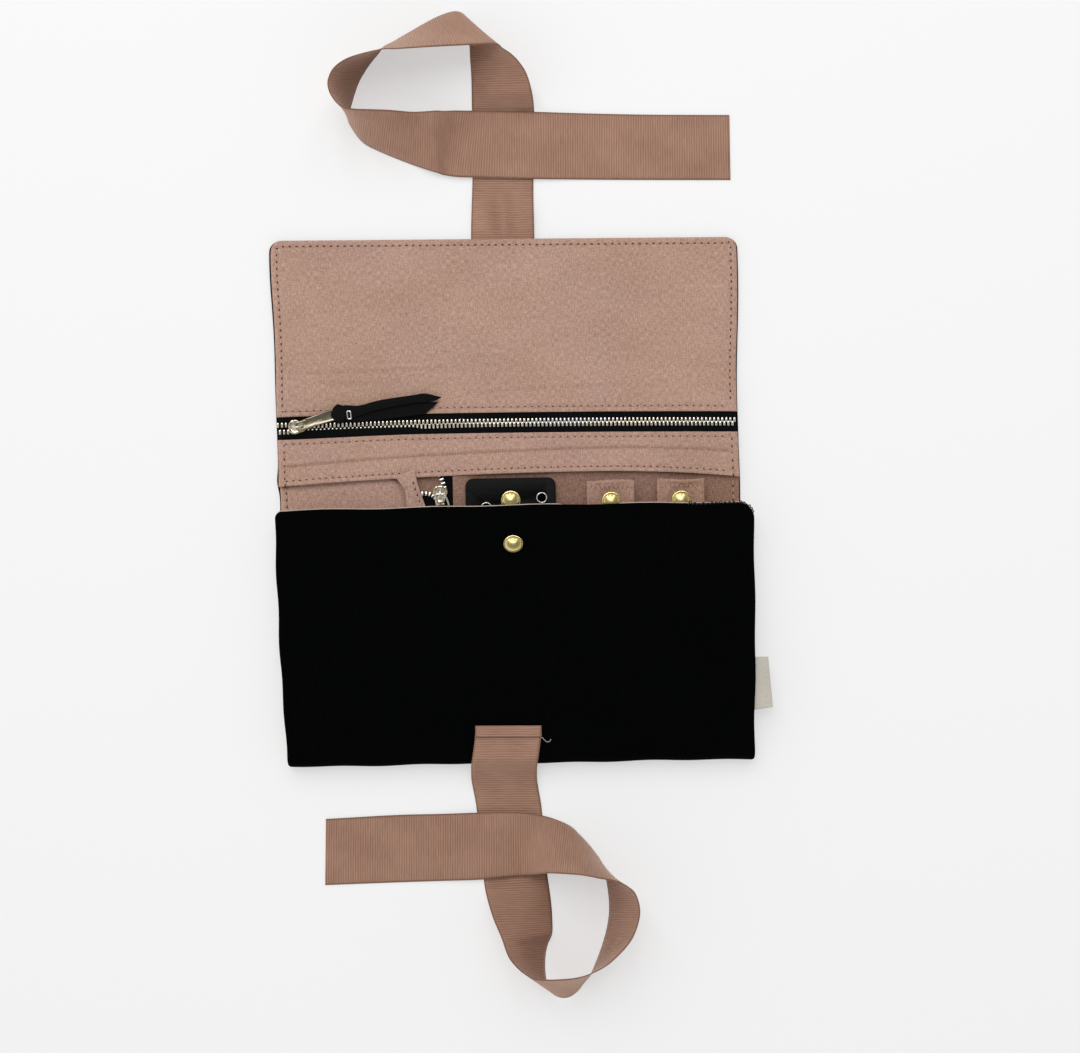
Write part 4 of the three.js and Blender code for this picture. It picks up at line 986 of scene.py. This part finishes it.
turn = np.linspace(0, math.pi, 9)
wire_x = side_x + np.concatenate([[-1.9, -WIRE_HALF], -WIRE_HALF * np.cos(turn), [WIRE_HALF, 1.9]])
wire_y = side_y + np.concatenate([[0.2, -2.2], -12.6 - WIRE_HALF * np.sin(turn), [-2.2, 0.2]])
wire_path = np.column_stack([wire_x + WIRE_SLANT * (side_y - wire_y), wire_y, np.full(len(wire_x), PULL_Z)])
bar_path = np.column_stack([np.linspace(side_x - 2.2, side_x + 2.2, 5), np.full(5, side_y + 0.2), np.full(5, PULL_Z)])
wire_pull = joined("wire_pull", [sweep("wire_loop", spline(wire_path, 60), WIRE), sweep("wire_bar", bar_path, WIRE)])
dress(wire_pull, steel, "steel", "side_zip_pull", body="side_slider")

# Earring plate
# A plate of black leather for stud earrings, with steel eyelets set in two columns, and a black cotton sheet under it
# that paints the shade seen through the eyelets. A domed snap holds it to the lining, and it carries the stud of the
# front flap's closing snap.
PLATE_CORNER = 4.2
EYELET_HOLE = 2.25
plate_low, plate_high = node_box("earring_plate")


def leather_grain():
    """Black leather: pebbled grain from cell distances, finer creases from noise, and a dull sheen."""
    material, tree, shader = new_material("black_leather", in_Roughness=0.7, in_Specular_IOR_Level=0.14)
    place = add_node(tree, "ShaderNodeTexCoord").outputs["Object"]
    cells = add_node(tree, "ShaderNodeTexVoronoi", in_Vector=place, in_Scale=1100.0).outputs["Distance"]
    crease = add_node(tree, "ShaderNodeTexNoise", in_Vector=place, in_Scale=700.0, in_Detail=4.0).outputs[0]
    tree.links.new(tone_ramp(tree, crease, srgb(8, 8, 9), srgb(18, 18, 19)), shader.inputs["Base Color"])
    add_relief(tree, shader, weighted_sum(tree, (cells, 1), (crease, 0.6)), 0.12, 0.8)
    return material


def plate_outline(inset):
    """Outline of the plate, drawn in by an inset."""
    return rounded_outline(plate_low[0] + inset, plate_high[0] - inset, plate_low[1] + inset, plate_high[1] - inset,
                           PLATE_CORNER)


plate = slab("leather_plate", plate_outline(0),
             [(0.25, plate_low[2]), (0, plate_low[2] + 0.25), (0, plate_high[2] - 0.4), (0.12, plate_high[2] - 0.15),
              (0.45, plate_high[2])])
eyelets = [f"earring_eyelet_{i}" for i in range(1, 7)]
turn = round_turn(32)
hole = EYELET_HOLE * np.stack([np.cos(turn), np.sin(turn)], -1)
drill = joined("plate_drill", [slab(f"{node}_drill", hole + node_centre(node)[:2],
                                    [(0, plate_low[2] - 1), (0, plate_high[2] + 1)]) for node in eyelets])
cut = plate.modifiers.new("eyelet holes", "BOOLEAN")
cut.object = drill
cut.operation = "DIFFERENCE"
cut.solver = "EXACT"
with bpy.context.temp_override(object=plate, active_object=plate):
    bpy.ops.object.modifier_apply(modifier=cut.name)
bpy.data.objects.remove(drill)
dress(plate, leather_grain(), "leather", "earring_plate", body="back")
# A black cotton sheet just under the plate: painted shade, so the eyelets show dark where the gap below them lies in
# shadow.
plate_backing = slab("plate_backing", plate_outline(1), [(0, plate_low[2] - 0.3), (0, plate_low[2] - 0.02)])
dress(plate_backing, *canvas, body="back")


def lathe(name, profile, centre, sides=40, closed=False, oval=1.0):
    """A turned piece: a profile of (radius, height) carried round an upright axis, and pressed oval along y. A closed
    profile makes a ring, an open one is capped at its two small ends."""
    profile = np.asarray(profile, float)
    if closed:
        profile = np.vstack([profile, profile[:1]])
    turn = round_turn(sides)
    ring = np.stack([np.cos(turn), oval * np.sin(turn)], -1)
    plan = profile[:, :1, None] * ring[None] + np.asarray(centre[:2])
    height = np.broadcast_to(profile[:, 1:, None] + centre[2], (*plan.shape[:2], 1))
    piece = surface(name, np.concatenate([plan, height], -1), wrap=True, capped=not closed)
    if closed:
        seam = piece.modifiers.new("seam", "WELD")
        seam.merge_threshold = 0.001 * MM
    return piece


bead = np.linspace(0, math.pi, 9)
rolled_rim = np.stack([2.6 + 0.42 * np.cos(bead), 0.5 * np.sin(bead)], -1)
barrel = np.array([[2.18, -0.3], [2.0, -1.2], [2.12, -1.2], [2.2, 0.0]])
for node in eyelets:
    eyelet = lathe(node.replace("earring_", ""), np.vstack([rolled_rim, barrel]),
                   (*node_centre(node)[:2], plate_high[2] + 0.02), closed=True)
    dress(eyelet, steel, "steel", node, body="back")

# Snaps
# Four press snaps of gold-plated brass: a domed cap riveted through the upper cloth, a socket under it, and a steel
# stud riveted to the layer below.
SNAPS = {"plate_snap": ("back", "back"), "strap_1_snap": ("back", "back"), "strap_2_snap": ("back", "back"),
         "closure_snap": ("front_flap", "back")}
CAP = 5.2
CAP_RISE = 2.3
CAP_SEAT = 2.0
FLANGE = 0.45
CLOSURE_OVAL = 0.87
gold = metal("gold", (208, 190, 130), 0.25)
dome = np.linspace(0, 0.965, 16) * math.pi / 2
crown = np.stack([(CAP - 0.5) * np.cos(dome), FLANGE + (CAP_RISE - FLANGE) * np.sin(dome) ** 1.2], -1)
for snap, (upper_body, lower_body) in SNAPS.items():
    low, high = node_box(f"{snap}_cap")
    middle = node_centre(f"{snap}_cap")[:2]
    base = high[2] - CAP_SEAT
    foot = [[0.5, low[2] - base], [1.15, low[2] - base], [1.15, -0.05], [CAP - 0.4, -0.1], [CAP - 0.1, 0.05],
            [CAP, 0.2], [CAP - 0.1, 0.38], [CAP - 0.4, FLANGE]]
    cap = lathe(f"{snap}_dome", np.vstack([foot, crown]), (*middle, base), 48,
                oval=CLOSURE_OVAL if snap == "closure_snap" else 1.0)
    dress(cap, gold, "gold", f"{snap}_cap", body=upper_body)

    low, high = node_box(f"{snap}_socket")
    tall = high[2] - low[2]
    profile = [[2.1, 0], [4.6, 0], [5.0, 0.2], [5.0, tall * 0.6], [4.4, tall], [3.2, tall], [2.6, tall - 0.2],
               [2.1, tall]]
    socket = lathe(f"{snap}_socket_ring", profile, (*middle, low[2]), 36, closed=True)
    dress(socket, gold, "gold", f"{snap}_socket", body=upper_body)

    low, high = node_box(f"{snap}_stud")
    tall = high[2] - low[2]
    foot = tall - 2.0
    profile = [[0.5, 0], [1.15, 0], [1.15, foot - 0.05], [4.8, foot], [5.0, foot + 0.25], [4.6, foot + 0.5],
               [2.2, foot + 0.5], [1.55, foot + 0.7], [1.85, foot + 1.25], [1.6, foot + 1.85], [0.5, tall]]
    stud = lathe(f"{snap}_stud_post", profile, (*middle, low[2]), 36)
    dress(stud, steel, "steel", f"{snap}_stud", body=lower_body)

# Straps
# Two straps for rings, each a strip of the lining cloth folded double and edge-stitched. The lower end is sewn flat to
# the lining, the free end is snapped, and its fold bulges a little.
STRAP = 1.0
STRAP_BULGES = {1: 0.8, 2: 1.6}
STRAP_STITCH = 3.3
# The straps take a darker copy of the lining's tones: painted shade, for the strips lying in the shaded middle band.
shaded_strap_finish = (linen("strap_lining", (144, 110, 94), (194, 158, 140)), "pink_lining")
for number, bulge in STRAP_BULGES.items():
    node = f"strap_{number}"
    low, high = node_box(node)
    snap_x, snap_y = node_centre(f"{node}_snap_cap")[:2]
    snap_top = node_box(f"{node}_snap_cap")[1][2]
    side = np.sin(np.linspace(-1, 1, 25) * math.pi / 2)
    across = (low[0] + high[0]) / 2 - 0.4 + side * ((high[0] - low[0]) / 2 + 0.4)
    free_end = high[1] - 3 + 3.4 * np.sin(np.linspace(0.05, 1, 9) * math.pi / 2)
    x, y = np.meshgrid(across, np.concatenate([np.linspace(low[1], high[1] - 3, 60), free_end]))
    lift = (high[2] - STRAP - low[2]) * smooth((y - (snap_y - 25)) / 20)
    z = low[2] + STRAP + 1.6 + lift + 0.45 * ripple(x * 1.6, y * 1.2, 11, seed=70 + number)
    z = z + bulge * ridge(y - high[1] + 0.6, 1.6) * ridge(x - across[12] - 2.5, 7.0)
    border = np.minimum(np.minimum(x - across[0], across[-1] - x), high[1] + 0.4 - y)
    z = z + 0.6 * ridge(border - 1.1, 0.8) - 0.2 * rim(border, 0.6)
    under_cap = np.exp(-(np.hypot(x - snap_x, y - snap_y) / 7.6) ** 10)
    z = z + (snap_top - 2.2 - z) * under_cap
    y = y + 0.35 * np.sin(x / 4.3 + number) * smooth((y - (high[1] - 4)) / 4)
    strap_points = np.stack([x, y, z], -1)
    cloth(f"ring_strap_{number}", strap_points, shaded_strap_finish, [node],
          STRAP, body="back")
    row_x = np.linspace(low[0] + 1.5, high[0] - 1.5, 30)
    row_y = np.full(30, high[1] - STRAP_STITCH)
    stitch_row(f"{node}_stitches", on_surface(strap_points, row_x, row_y), "back", pitch=2.4, hole=0.22)

# Front flap's edge and label
# The lining shows as a pale line along the flap's free edge, and near the right corner the black overlock thread loops
# over it. A folded tape of off-white twill is sewn into the right seam.
OVERLOCK = 0.28
LABEL = 0.5
black_thread = new_material("black_thread", in_Base_Color=srgb(10, 10, 11), in_Roughness=0.7)[0]
front_top = 2 * fold_radius
loop_turn = np.linspace(-0.2, 1.2, 10) * math.pi
corner_radius = FRONT_CORNERS[1]
corner_x = float(front_right(np.array(58.0))) - corner_radius
draw = np.random.default_rng(5)
loops = []
for i, x in enumerate(np.concatenate([np.arange(95, 120, 2.3), [121.6, 123.3, 124.8, 126.1, 127.2, 128.0]])):
    size = draw.uniform(0.3, 1.3)
    bend = math.asin(max(0.0, x - corner_x) / corner_radius)
    edge_y = float(front_end(np.array(x))) - corner_radius * (1 - math.cos(bend))
    along = draw.uniform(0.7, 1.1) * np.cos(loop_turn)
    outward = (size + 0.5) * np.sin(loop_turn) - 0.9
    path = np.stack([x + along * math.cos(bend) + outward * math.sin(bend),
                     edge_y - along * math.sin(bend) + outward * math.cos(bend),
                     front_top - 0.5 + 0.3 * np.sin(loop_turn)], -1)
    loops.append(sweep(f"overlock_{i}", path, OVERLOCK, 6))
overlock = joined("overlock_thread", loops)
dress(overlock, black_thread, "black_cotton", body="front_flap")

label_low, label_high = node_box("side_label")
label_twill = woven("label_twill", srgb(190, 184, 173), srgb(214, 208, 198), pitch=0.4, slub=1.6, depth=0.1,
                    in_Roughness=0.85)
v = np.linspace(0, 1, 40)[:, None]
u = np.linspace(0, 1, 16)[None, :]
reach = label_high[0] - label_low[0] - 2.0 + 2.0 * (1 - v)
x = float(front_right(np.array(-30.0))) - 1.2 + reach * u
y = label_low[1] + (label_high[1] - label_low[1]) * v + 1.4 * u * (1 - v)
z = label_low[2] + 0.5 + 0.35 * np.sin(v * 5 + u * 2) * u
cloth("seam_label", np.stack(np.broadcast_arrays(x, y, z), -1), (label_twill, "label_tape"), ["side_label"],
      LABEL, body="front_flap")

# Tie ribbons
# Two lengths of dusty-pink grosgrain, ribbed across, 35 mm wide. The upper is sewn into the top flap's edge, the lower
# hemmed and sewn on the front flap. Each lies on the table in one loose loop that passes under its own tail.
RIBBON = 0.5
RIBBON_WIDTH = 35.0
RIBBON_FLOOR = 0.3
RIB_PITCH = 1.3
RIBBON_HEM = 1.2


def grosgrain_ribs():
    """Ribbed silk-faced ribbon on the flat UV map: ribs across the width, |sin(pi v / pitch)| high, each with its own
    tone, and a smoother selvedge on both sides."""
    material, tree, shader = new_material("grosgrain", in_Roughness=0.7, in_Specular_IOR_Level=0.2, in_Sheen_Weight=0.6,
                                          in_Sheen_Roughness=0.4, in_Sheen_Tint=(0.85, 0.66, 0.56, 1))
    flat = add_node(tree, "ShaderNodeUVMap", uv_map="flat").outputs[0]
    place = add_node(tree, "ShaderNodeSeparateXYZ", in0=flat)
    turns = math_node(tree, "MULTIPLY", place.outputs[1], math.pi / (RIB_PITCH * MM))
    rib = math_node(tree, "ABSOLUTE", math_node(tree, "SINE", turns))
    yarn = stretched_noise(tree, flat, 9, 0.8)
    cloud = stretched_noise(tree, flat, 16, 24, 2.0)
    tone = weighted_sum(tree, (yarn, 0.35), (cloud, 0.3), (rib, 0.26))
    face = tone_ramp(tree, tone, srgb(136, 98, 80), srgb(188, 150, 129), 0.24, 0.84)
    out = math_node(tree, "ABSOLUTE", place.outputs[0])
    selvedge = add_node(tree, "ShaderNodeMapRange", in_Value=out, in_From_Min=16.4 * MM, in_From_Max=17.2 * MM)
    tint = add_node(tree, "ShaderNodeMix", data_type="RGBA", in0=selvedge.outputs[0], in6=face, in7=srgb(132, 97, 80))
    tree.links.new(tint.outputs[2], shader.inputs["Base Color"])
    add_relief(tree, shader, rib, 0.22, 0.8)
    return material


def ribbon_sheet(selvedges, count, crease):
    """Points of a ribbon between its two selvedges, each a spline through its stations, with straight lines across.
    The flat map's run is the mean of the two selvedges' lengths. The crease, at a station, is a tent of a height that
    starts and ends at two distances along the run."""
    pair = np.asarray(selvedges, float)
    line = spline(pair, count)
    share = np.linspace(0, 1, 17)[None, :, None]
    points = line[:, None, :3] * (1 - share) + line[:, None, 3:] * share
    points[..., 2] = np.maximum(points[..., 2], RIBBON_FLOOR)
    steps = np.diff(line, axis=0)
    step = (np.linalg.norm(steps[:, :3], axis=1) + np.linalg.norm(steps[:, 3:], axis=1)) / 2
    run = np.concatenate([[0], np.cumsum(step)])
    flat = np.stack(np.broadcast_arrays((share[..., 0] - 0.5) * RIBBON_WIDTH, run[:, None]), -1)
    station, height, before, after = crease
    past = run - run[np.argmin(np.linalg.norm(line[:, :3] - pair[station, :3], axis=1))]
    points[..., 2] += height * np.clip(np.minimum(1 + past / before, 1 - past / after), 0, None)[:, None]
    return points, flat, run[-1]


# Stations of the upper ribbon's two selvedges: x, y past the flap's edge and z of each.
TOP_SELVEDGES = [
    (-18.9, -0.9, 1.2, 15.0, -1.5, 1.2), (-18.6, 8.2, 1.0, 14.9, 7.6, 1.0), (-18.0, 21.7, 0.7, 14.8, 21.1, 0.7),
    (-17.1, 48.4, 0.4, 15.6, 47.8, 0.4), (-17.2, 70.9, 0.5, 16.0, 70.2, 0.9), (-17.1, 79.5, 0.6, 15.0, 75.7, 14.1),
    (-17.1, 87.9, 0.7, 12.4, 84.0, 19.2), (-17.5, 96.4, 1.0, 8.4, 89.5, 23.6), (-17.8, 104.3, 1.6, 4.2, 93.1, 26.4),
    (-18.7, 112.7, 2.2, 0.4, 95.8, 26.1), (-20.5, 120.2, 2.6, -3.2, 98.7, 24.2), (-24.4, 122.0, 2.6, -10.5, 98.7, 24.8),
    (-30.1, 121.2, 2.0, -20.4, 98.0, 26.3), (-37.6, 118.4, 1.2, -32.3, 97.1, 28.4),
    (-50.8, 111.4, 0.6, -46.7, 95.7, 31.6), (-59.3, 106.7, 0.4, -55.9, 94.9, 33.2),
    (-63.7, 104.5, 0.4, -61.5, 94.7, 33.9), (-66.9, 100.7, 0.4, -71.9, 92.6, 34.1),
    (-70.8, 96.1, 0.4, -81.3, 89.8, 33.2), (-74.3, 91.2, 0.4, -87.6, 85.4, 32.3),
    (-77.4, 85.9, 0.4, -90.4, 79.5, 32.3), (-79.9, 79.5, 0.4, -89.9, 74.1, 33.5),
    (-81.9, 73.1, 0.4, -87.7, 69.6, 34.7), (-83.3, 68.8, 0.4, -85.1, 66.4, 35.2), (-83.4, 65.4, 0.4, -82.0, 64.5, 35.2),
    (-80.5, 59.7, 0.4, -77.0, 63.7, 35.0), (-75.4, 53.3, 0.4, -69.9, 63.7, 33.4), (-65.0, 47.7, 0.4, -59.7, 63.7, 31.1),
    (-49.4, 41.1, 0.5, -46.5, 64.4, 22.5), (-36.4, 36.1, 1.6, -34.5, 65.6, 18.0), (-31.0, 34.6, 2.2, -27.5, 68.5, 6.0),
    (-25.5, 33.8, 2.2, -20.5, 69.0, 2.8), (-16.3, 33.4, 2.0, -12.7, 69.0, 2.2), (-1.2, 32.8, 1.8, -0.6, 68.6, 1.8),
    (15.9, 32.1, 1.6, 16.0, 68.0, 1.6), (39.9, 31.6, 0.7, 40.6, 67.0, 0.7), (72.0, 30.9, 0.4, 72.6, 65.8, 0.4),
    (120.4, 30.0, 0.4, 120.4, 64.7, 0.4)]
ribbon_finish = (grosgrain_ribs(), "grosgrain")
points, flat, length = ribbon_sheet(TOP_SELVEDGES, 440, (29, 1.8, 14, 5))
across, run = flat[..., 0], flat[..., 1]
slack = (1 - smooth((run - 14) / 16)) * smooth(run / 8)
points[..., 2] += 1.3 * slack * (1 + np.sin(across / 1.9 + 0.06 * run + np.sin(across / 4)))
points[..., 1] += node_box("top_outer_panel")[1][1]
top_ribbon = cloth("upper_tie_ribbon", points, ribbon_finish, ["top_ribbon"], RIBBON, 0,
                   flat, body="top_flap")
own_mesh(top_ribbon)

fold_edge = fold_low[1]
on_flap = front_top + 0.6
pale_thread = new_material("pale_thread", in_Base_Color=srgb(150, 140, 134), in_Roughness=0.7)[0]
thread_bend = np.array([[0, 0, 0.5], [1.2, -0.6, 0.7], [2.4, -1.9, 0.6], [3.6, -2.6, 0.5], [4.9, -2.3, 0.4],
                        [5.5, -1.2, 0.3]])
thread_path = spline(thread_bend + np.array([13.6, fold_edge + 14.4, on_flap]), 30)
thread_end = sweep("hem_thread_end", thread_path, THREAD, 6)
dress(thread_end, pale_thread, "grosgrain", body="front_flap")

# Stations of the lower ribbon's two selvedges: x, y past the fold's outer edge and z of each. The first eleven lie on
# the flap and drop over its fold, so the two selvedges share a height there.
HEMMED_END = [
    (14.3, 14.7, -20.7, 15.2, on_flap + RIBBON_HEM), (14.3, 18.6, -20.7, 19.1, on_flap + RIBBON_HEM),
    (14.3, 20.2, -20.7, 20.7, on_flap + RIBBON_HEM / 2), (14.3, 18.6, -20.7, 19.1, on_flap),
    (13.8, 12.8, -21.2, 13.3, on_flap), (13.0, 7.3, -22.0, 7.8, on_flap), (12.2, 2.4, -22.8, 2.9, on_flap),
    (11.6, -1.4, -23.4, -0.9, 0.72 * front_top), (11.4, -4.8, -23.6, -4.3, 0.44 * front_top),
    (11.4, -9.6, -23.6, -9.1, 0.2 * front_top), (12.2, -15.7, -22.7, -15.1, 0.8)]
BOTTOM_SELVEDGES = [(left, low, z, right, high, z) for left, low, right, high, z in HEMMED_END] + [
    (13.3, -22.9, 0.5, -21.5, -22.2, 0.5), (15.0, -44.8, 0.4, -19.8, -44.2, 0.4), (16.0, -60.9, 0.4, -18.1, -62.4, 0.4),
    (17.0, -68.9, 0.4, -17.1, -69.2, 1.5), (17.8, -77.0, 0.4, -15.1, -74.1, 11.9),
    (18.1, -83.9, 0.5, -12.7, -80.5, 16.7), (17.8, -92.0, 0.6, -8.3, -89.1, 23.7),
    (15.3, -98.2, 0.7, -6.5, -93.9, 27.8), (14.0, -104.6, 0.9, -4.5, -98.1, 29.9),
    (13.8, -111.9, 1.6, -1.8, -101.5, 31.1), (15.0, -119.2, 2.4, 0.7, -104.2, 30.6),
    (17.9, -123.8, 2.6, 3.2, -106.6, 29.3), (22.1, -125.9, 2.6, 8.1, -109.2, 30.0),
    (26.4, -125.8, 2.0, 15.9, -109.6, 31.2), (30.8, -123.2, 1.0, 25.7, -109.0, 32.6),
    (34.6, -118.7, 0.5, 31.9, -107.9, 33.7), (38.2, -114.6, 0.4, 37.6, -106.0, 34.3),
    (40.6, -109.5, 0.4, 45.4, -102.1, 34.3), (43.3, -103.0, 0.4, 52.8, -96.1, 33.4),
    (46.3, -94.1, 0.4, 59.4, -88.4, 32.3), (48.3, -85.5, 0.4, 63.0, -79.2, 31.5),
    (48.9, -78.1, 0.4, 63.4, -72.5, 31.7), (48.5, -70.6, 0.4, 61.2, -65.3, 32.6),
    (47.6, -64.1, 0.4, 57.5, -61.5, 33.9), (46.4, -57.7, 0.4, 53.4, -59.1, 34.7), (44.3, -53.3, 0.4, 48.8, -57.8, 34.8),
    (41.2, -48.8, 0.4, 43.1, -56.8, 34.4), (37.1, -43.6, 0.4, 38.0, -55.9, 33.2), (32.8, -39.0, 0.4, 32.3, -55.3, 31.4),
    (28.9, -35.2, 0.5, 25.9, -55.2, 29.1), (18.5, -30.4, 0.8, 16.0, -56.0, 22.0), (6.2, -27.3, 2.2, 5.6, -60.7, 3.0),
    (-6.3, -26.6, 2.0, -6.7, -61.5, 2.0), (-19.4, -26.7, 1.8, -20.0, -62.5, 1.8),
    (-40.9, -27.2, 0.8, -41.5, -63.0, 0.8), (-62.3, -27.4, 0.4, -62.9, -63.4, 0.4),
    (-101.9, -28.9, 0.4, -102.9, -64.2, 0.4)]
points, flat, length = ribbon_sheet(BOTTOM_SELVEDGES, 520, (17, 1.6, 12, 5))
points[..., 1] += fold_edge
bottom_ribbon = cloth("lower_tie_ribbon", points, ribbon_finish, ["bottom_ribbon"],
                      RIBBON, 0, flat, body="back")
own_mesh(bottom_ribbon)

# Table, light and camera
# A pale seamless table, three soft strip lamps above the head of the pouch, a bright room round it that is brightest at
# its foot and to its left, and the photograph's camera straight above.
TABLE_HALF = 4
LAMPS = {"left_head_lamp": (-0.75, 10.4), "middle_head_lamp": (-0.1, 8.4), "right_head_lamp": (0.55, 7.5)}
LAMP_WIDTH = 0.3
LAMP_LENGTH = 2.0
LAMP_ROW = (1.15, 1.75)
PHOTO_WIDTH = 577.8
PHOTO_CENTRE = (0.0153, 0.0495)
PHOTO_TURN = math.radians(-1)
SENSOR = 36
CAMERA_HEIGHT = 1000
table_mesh = bpy.data.meshes.new("table")
table_mesh.from_pydata([(-TABLE_HALF, -TABLE_HALF, 0), (TABLE_HALF, -TABLE_HALF, 0), (TABLE_HALF, TABLE_HALF, 0),
                        (-TABLE_HALF, TABLE_HALF, 0)], [], [(0, 1, 2, 3)])
table = bpy.data.objects.new("table", table_mesh)
bpy.context.scene.collection.objects.link(table)
paper, tree, shader = new_material("table_paper", in_Base_Color=(0.93, 0.93, 0.93, 1), in_Roughness=1.0,
                                   in_Specular_IOR_Level=0.0)
rays = add_node(tree, "ShaderNodeLightPath").outputs
mirrored = math_node(tree, "MAXIMUM", rays["Is Glossy Ray"], rays["Is Transmission Ray"])
seen = math_node(tree, "MAXIMUM", rays["Is Camera Ray"], mirrored)
white = add_node(tree, "ShaderNodeEmission", in_Color=(0.95, 0.95, 0.95, 1))
mixed = add_node(tree, "ShaderNodeMixShader", in0=math_node(tree, "MULTIPLY", seen, 0.5), in1=shader.outputs[0],
                 in2=white.outputs[0])
tree.links.new(mixed.outputs[0], tree.nodes["Material Output"].inputs[0])
table_mesh.materials.append(paper)

for name, (lamp_x, power) in LAMPS.items():
    strip = bpy.data.lights.new(name, "AREA")
    strip.shape = "RECTANGLE"
    strip.size = LAMP_WIDTH
    strip.size_y = LAMP_LENGTH
    strip.energy = power
    lamp = bpy.data.objects.new(name, strip)
    lamp.location = (lamp_x, *LAMP_ROW)
    lamp.rotation_euler = Vector((lamp_x, *LAMP_ROW)).to_track_quat("Z", "Y").to_euler()
    bpy.context.scene.collection.objects.link(lamp)

world = bpy.data.worlds.new("studio")
bpy.context.scene.world = world
world.use_nodes = True
sky = world.node_tree
sky.nodes.clear()
toward = add_node(sky, "ShaderNodeSeparateXYZ", in0=add_node(sky, "ShaderNodeTexCoord").outputs["Generated"])
glow = tone_ramp(sky, toward.outputs[2], (1.05, 1.05, 1.05, 1), (0.3, 0.3, 0.3, 1), 0.3, 0.8)
leftward = math_node(sky, "SUBTRACT", 1.0, math_node(sky, "MULTIPLY", toward.outputs[0], 0.25))
footward = math_node(sky, "SUBTRACT", leftward, math_node(sky, "MULTIPLY", toward.outputs[1], 0.35))
light = add_node(sky, "ShaderNodeBackground", in_Color=glow, in_Strength=footward)
sky.links.new(light.outputs[0], add_node(sky, "ShaderNodeOutputWorld").inputs[0])

camera_data = bpy.data.cameras.new("photo_camera")
camera_data.sensor_width = SENSOR
camera_data.lens = SENSOR * CAMERA_HEIGHT / PHOTO_WIDTH
camera = bpy.data.objects.new("photo_camera", camera_data)
camera.location = (*PHOTO_CENTRE, CAMERA_HEIGHT * MM)
camera.rotation_euler = (0, 0, PHOTO_TURN)
bpy.context.scene.collection.objects.link(camera)
bpy.context.scene.camera = camera
bpy.context.scene.view_settings.view_transform = "Standard"
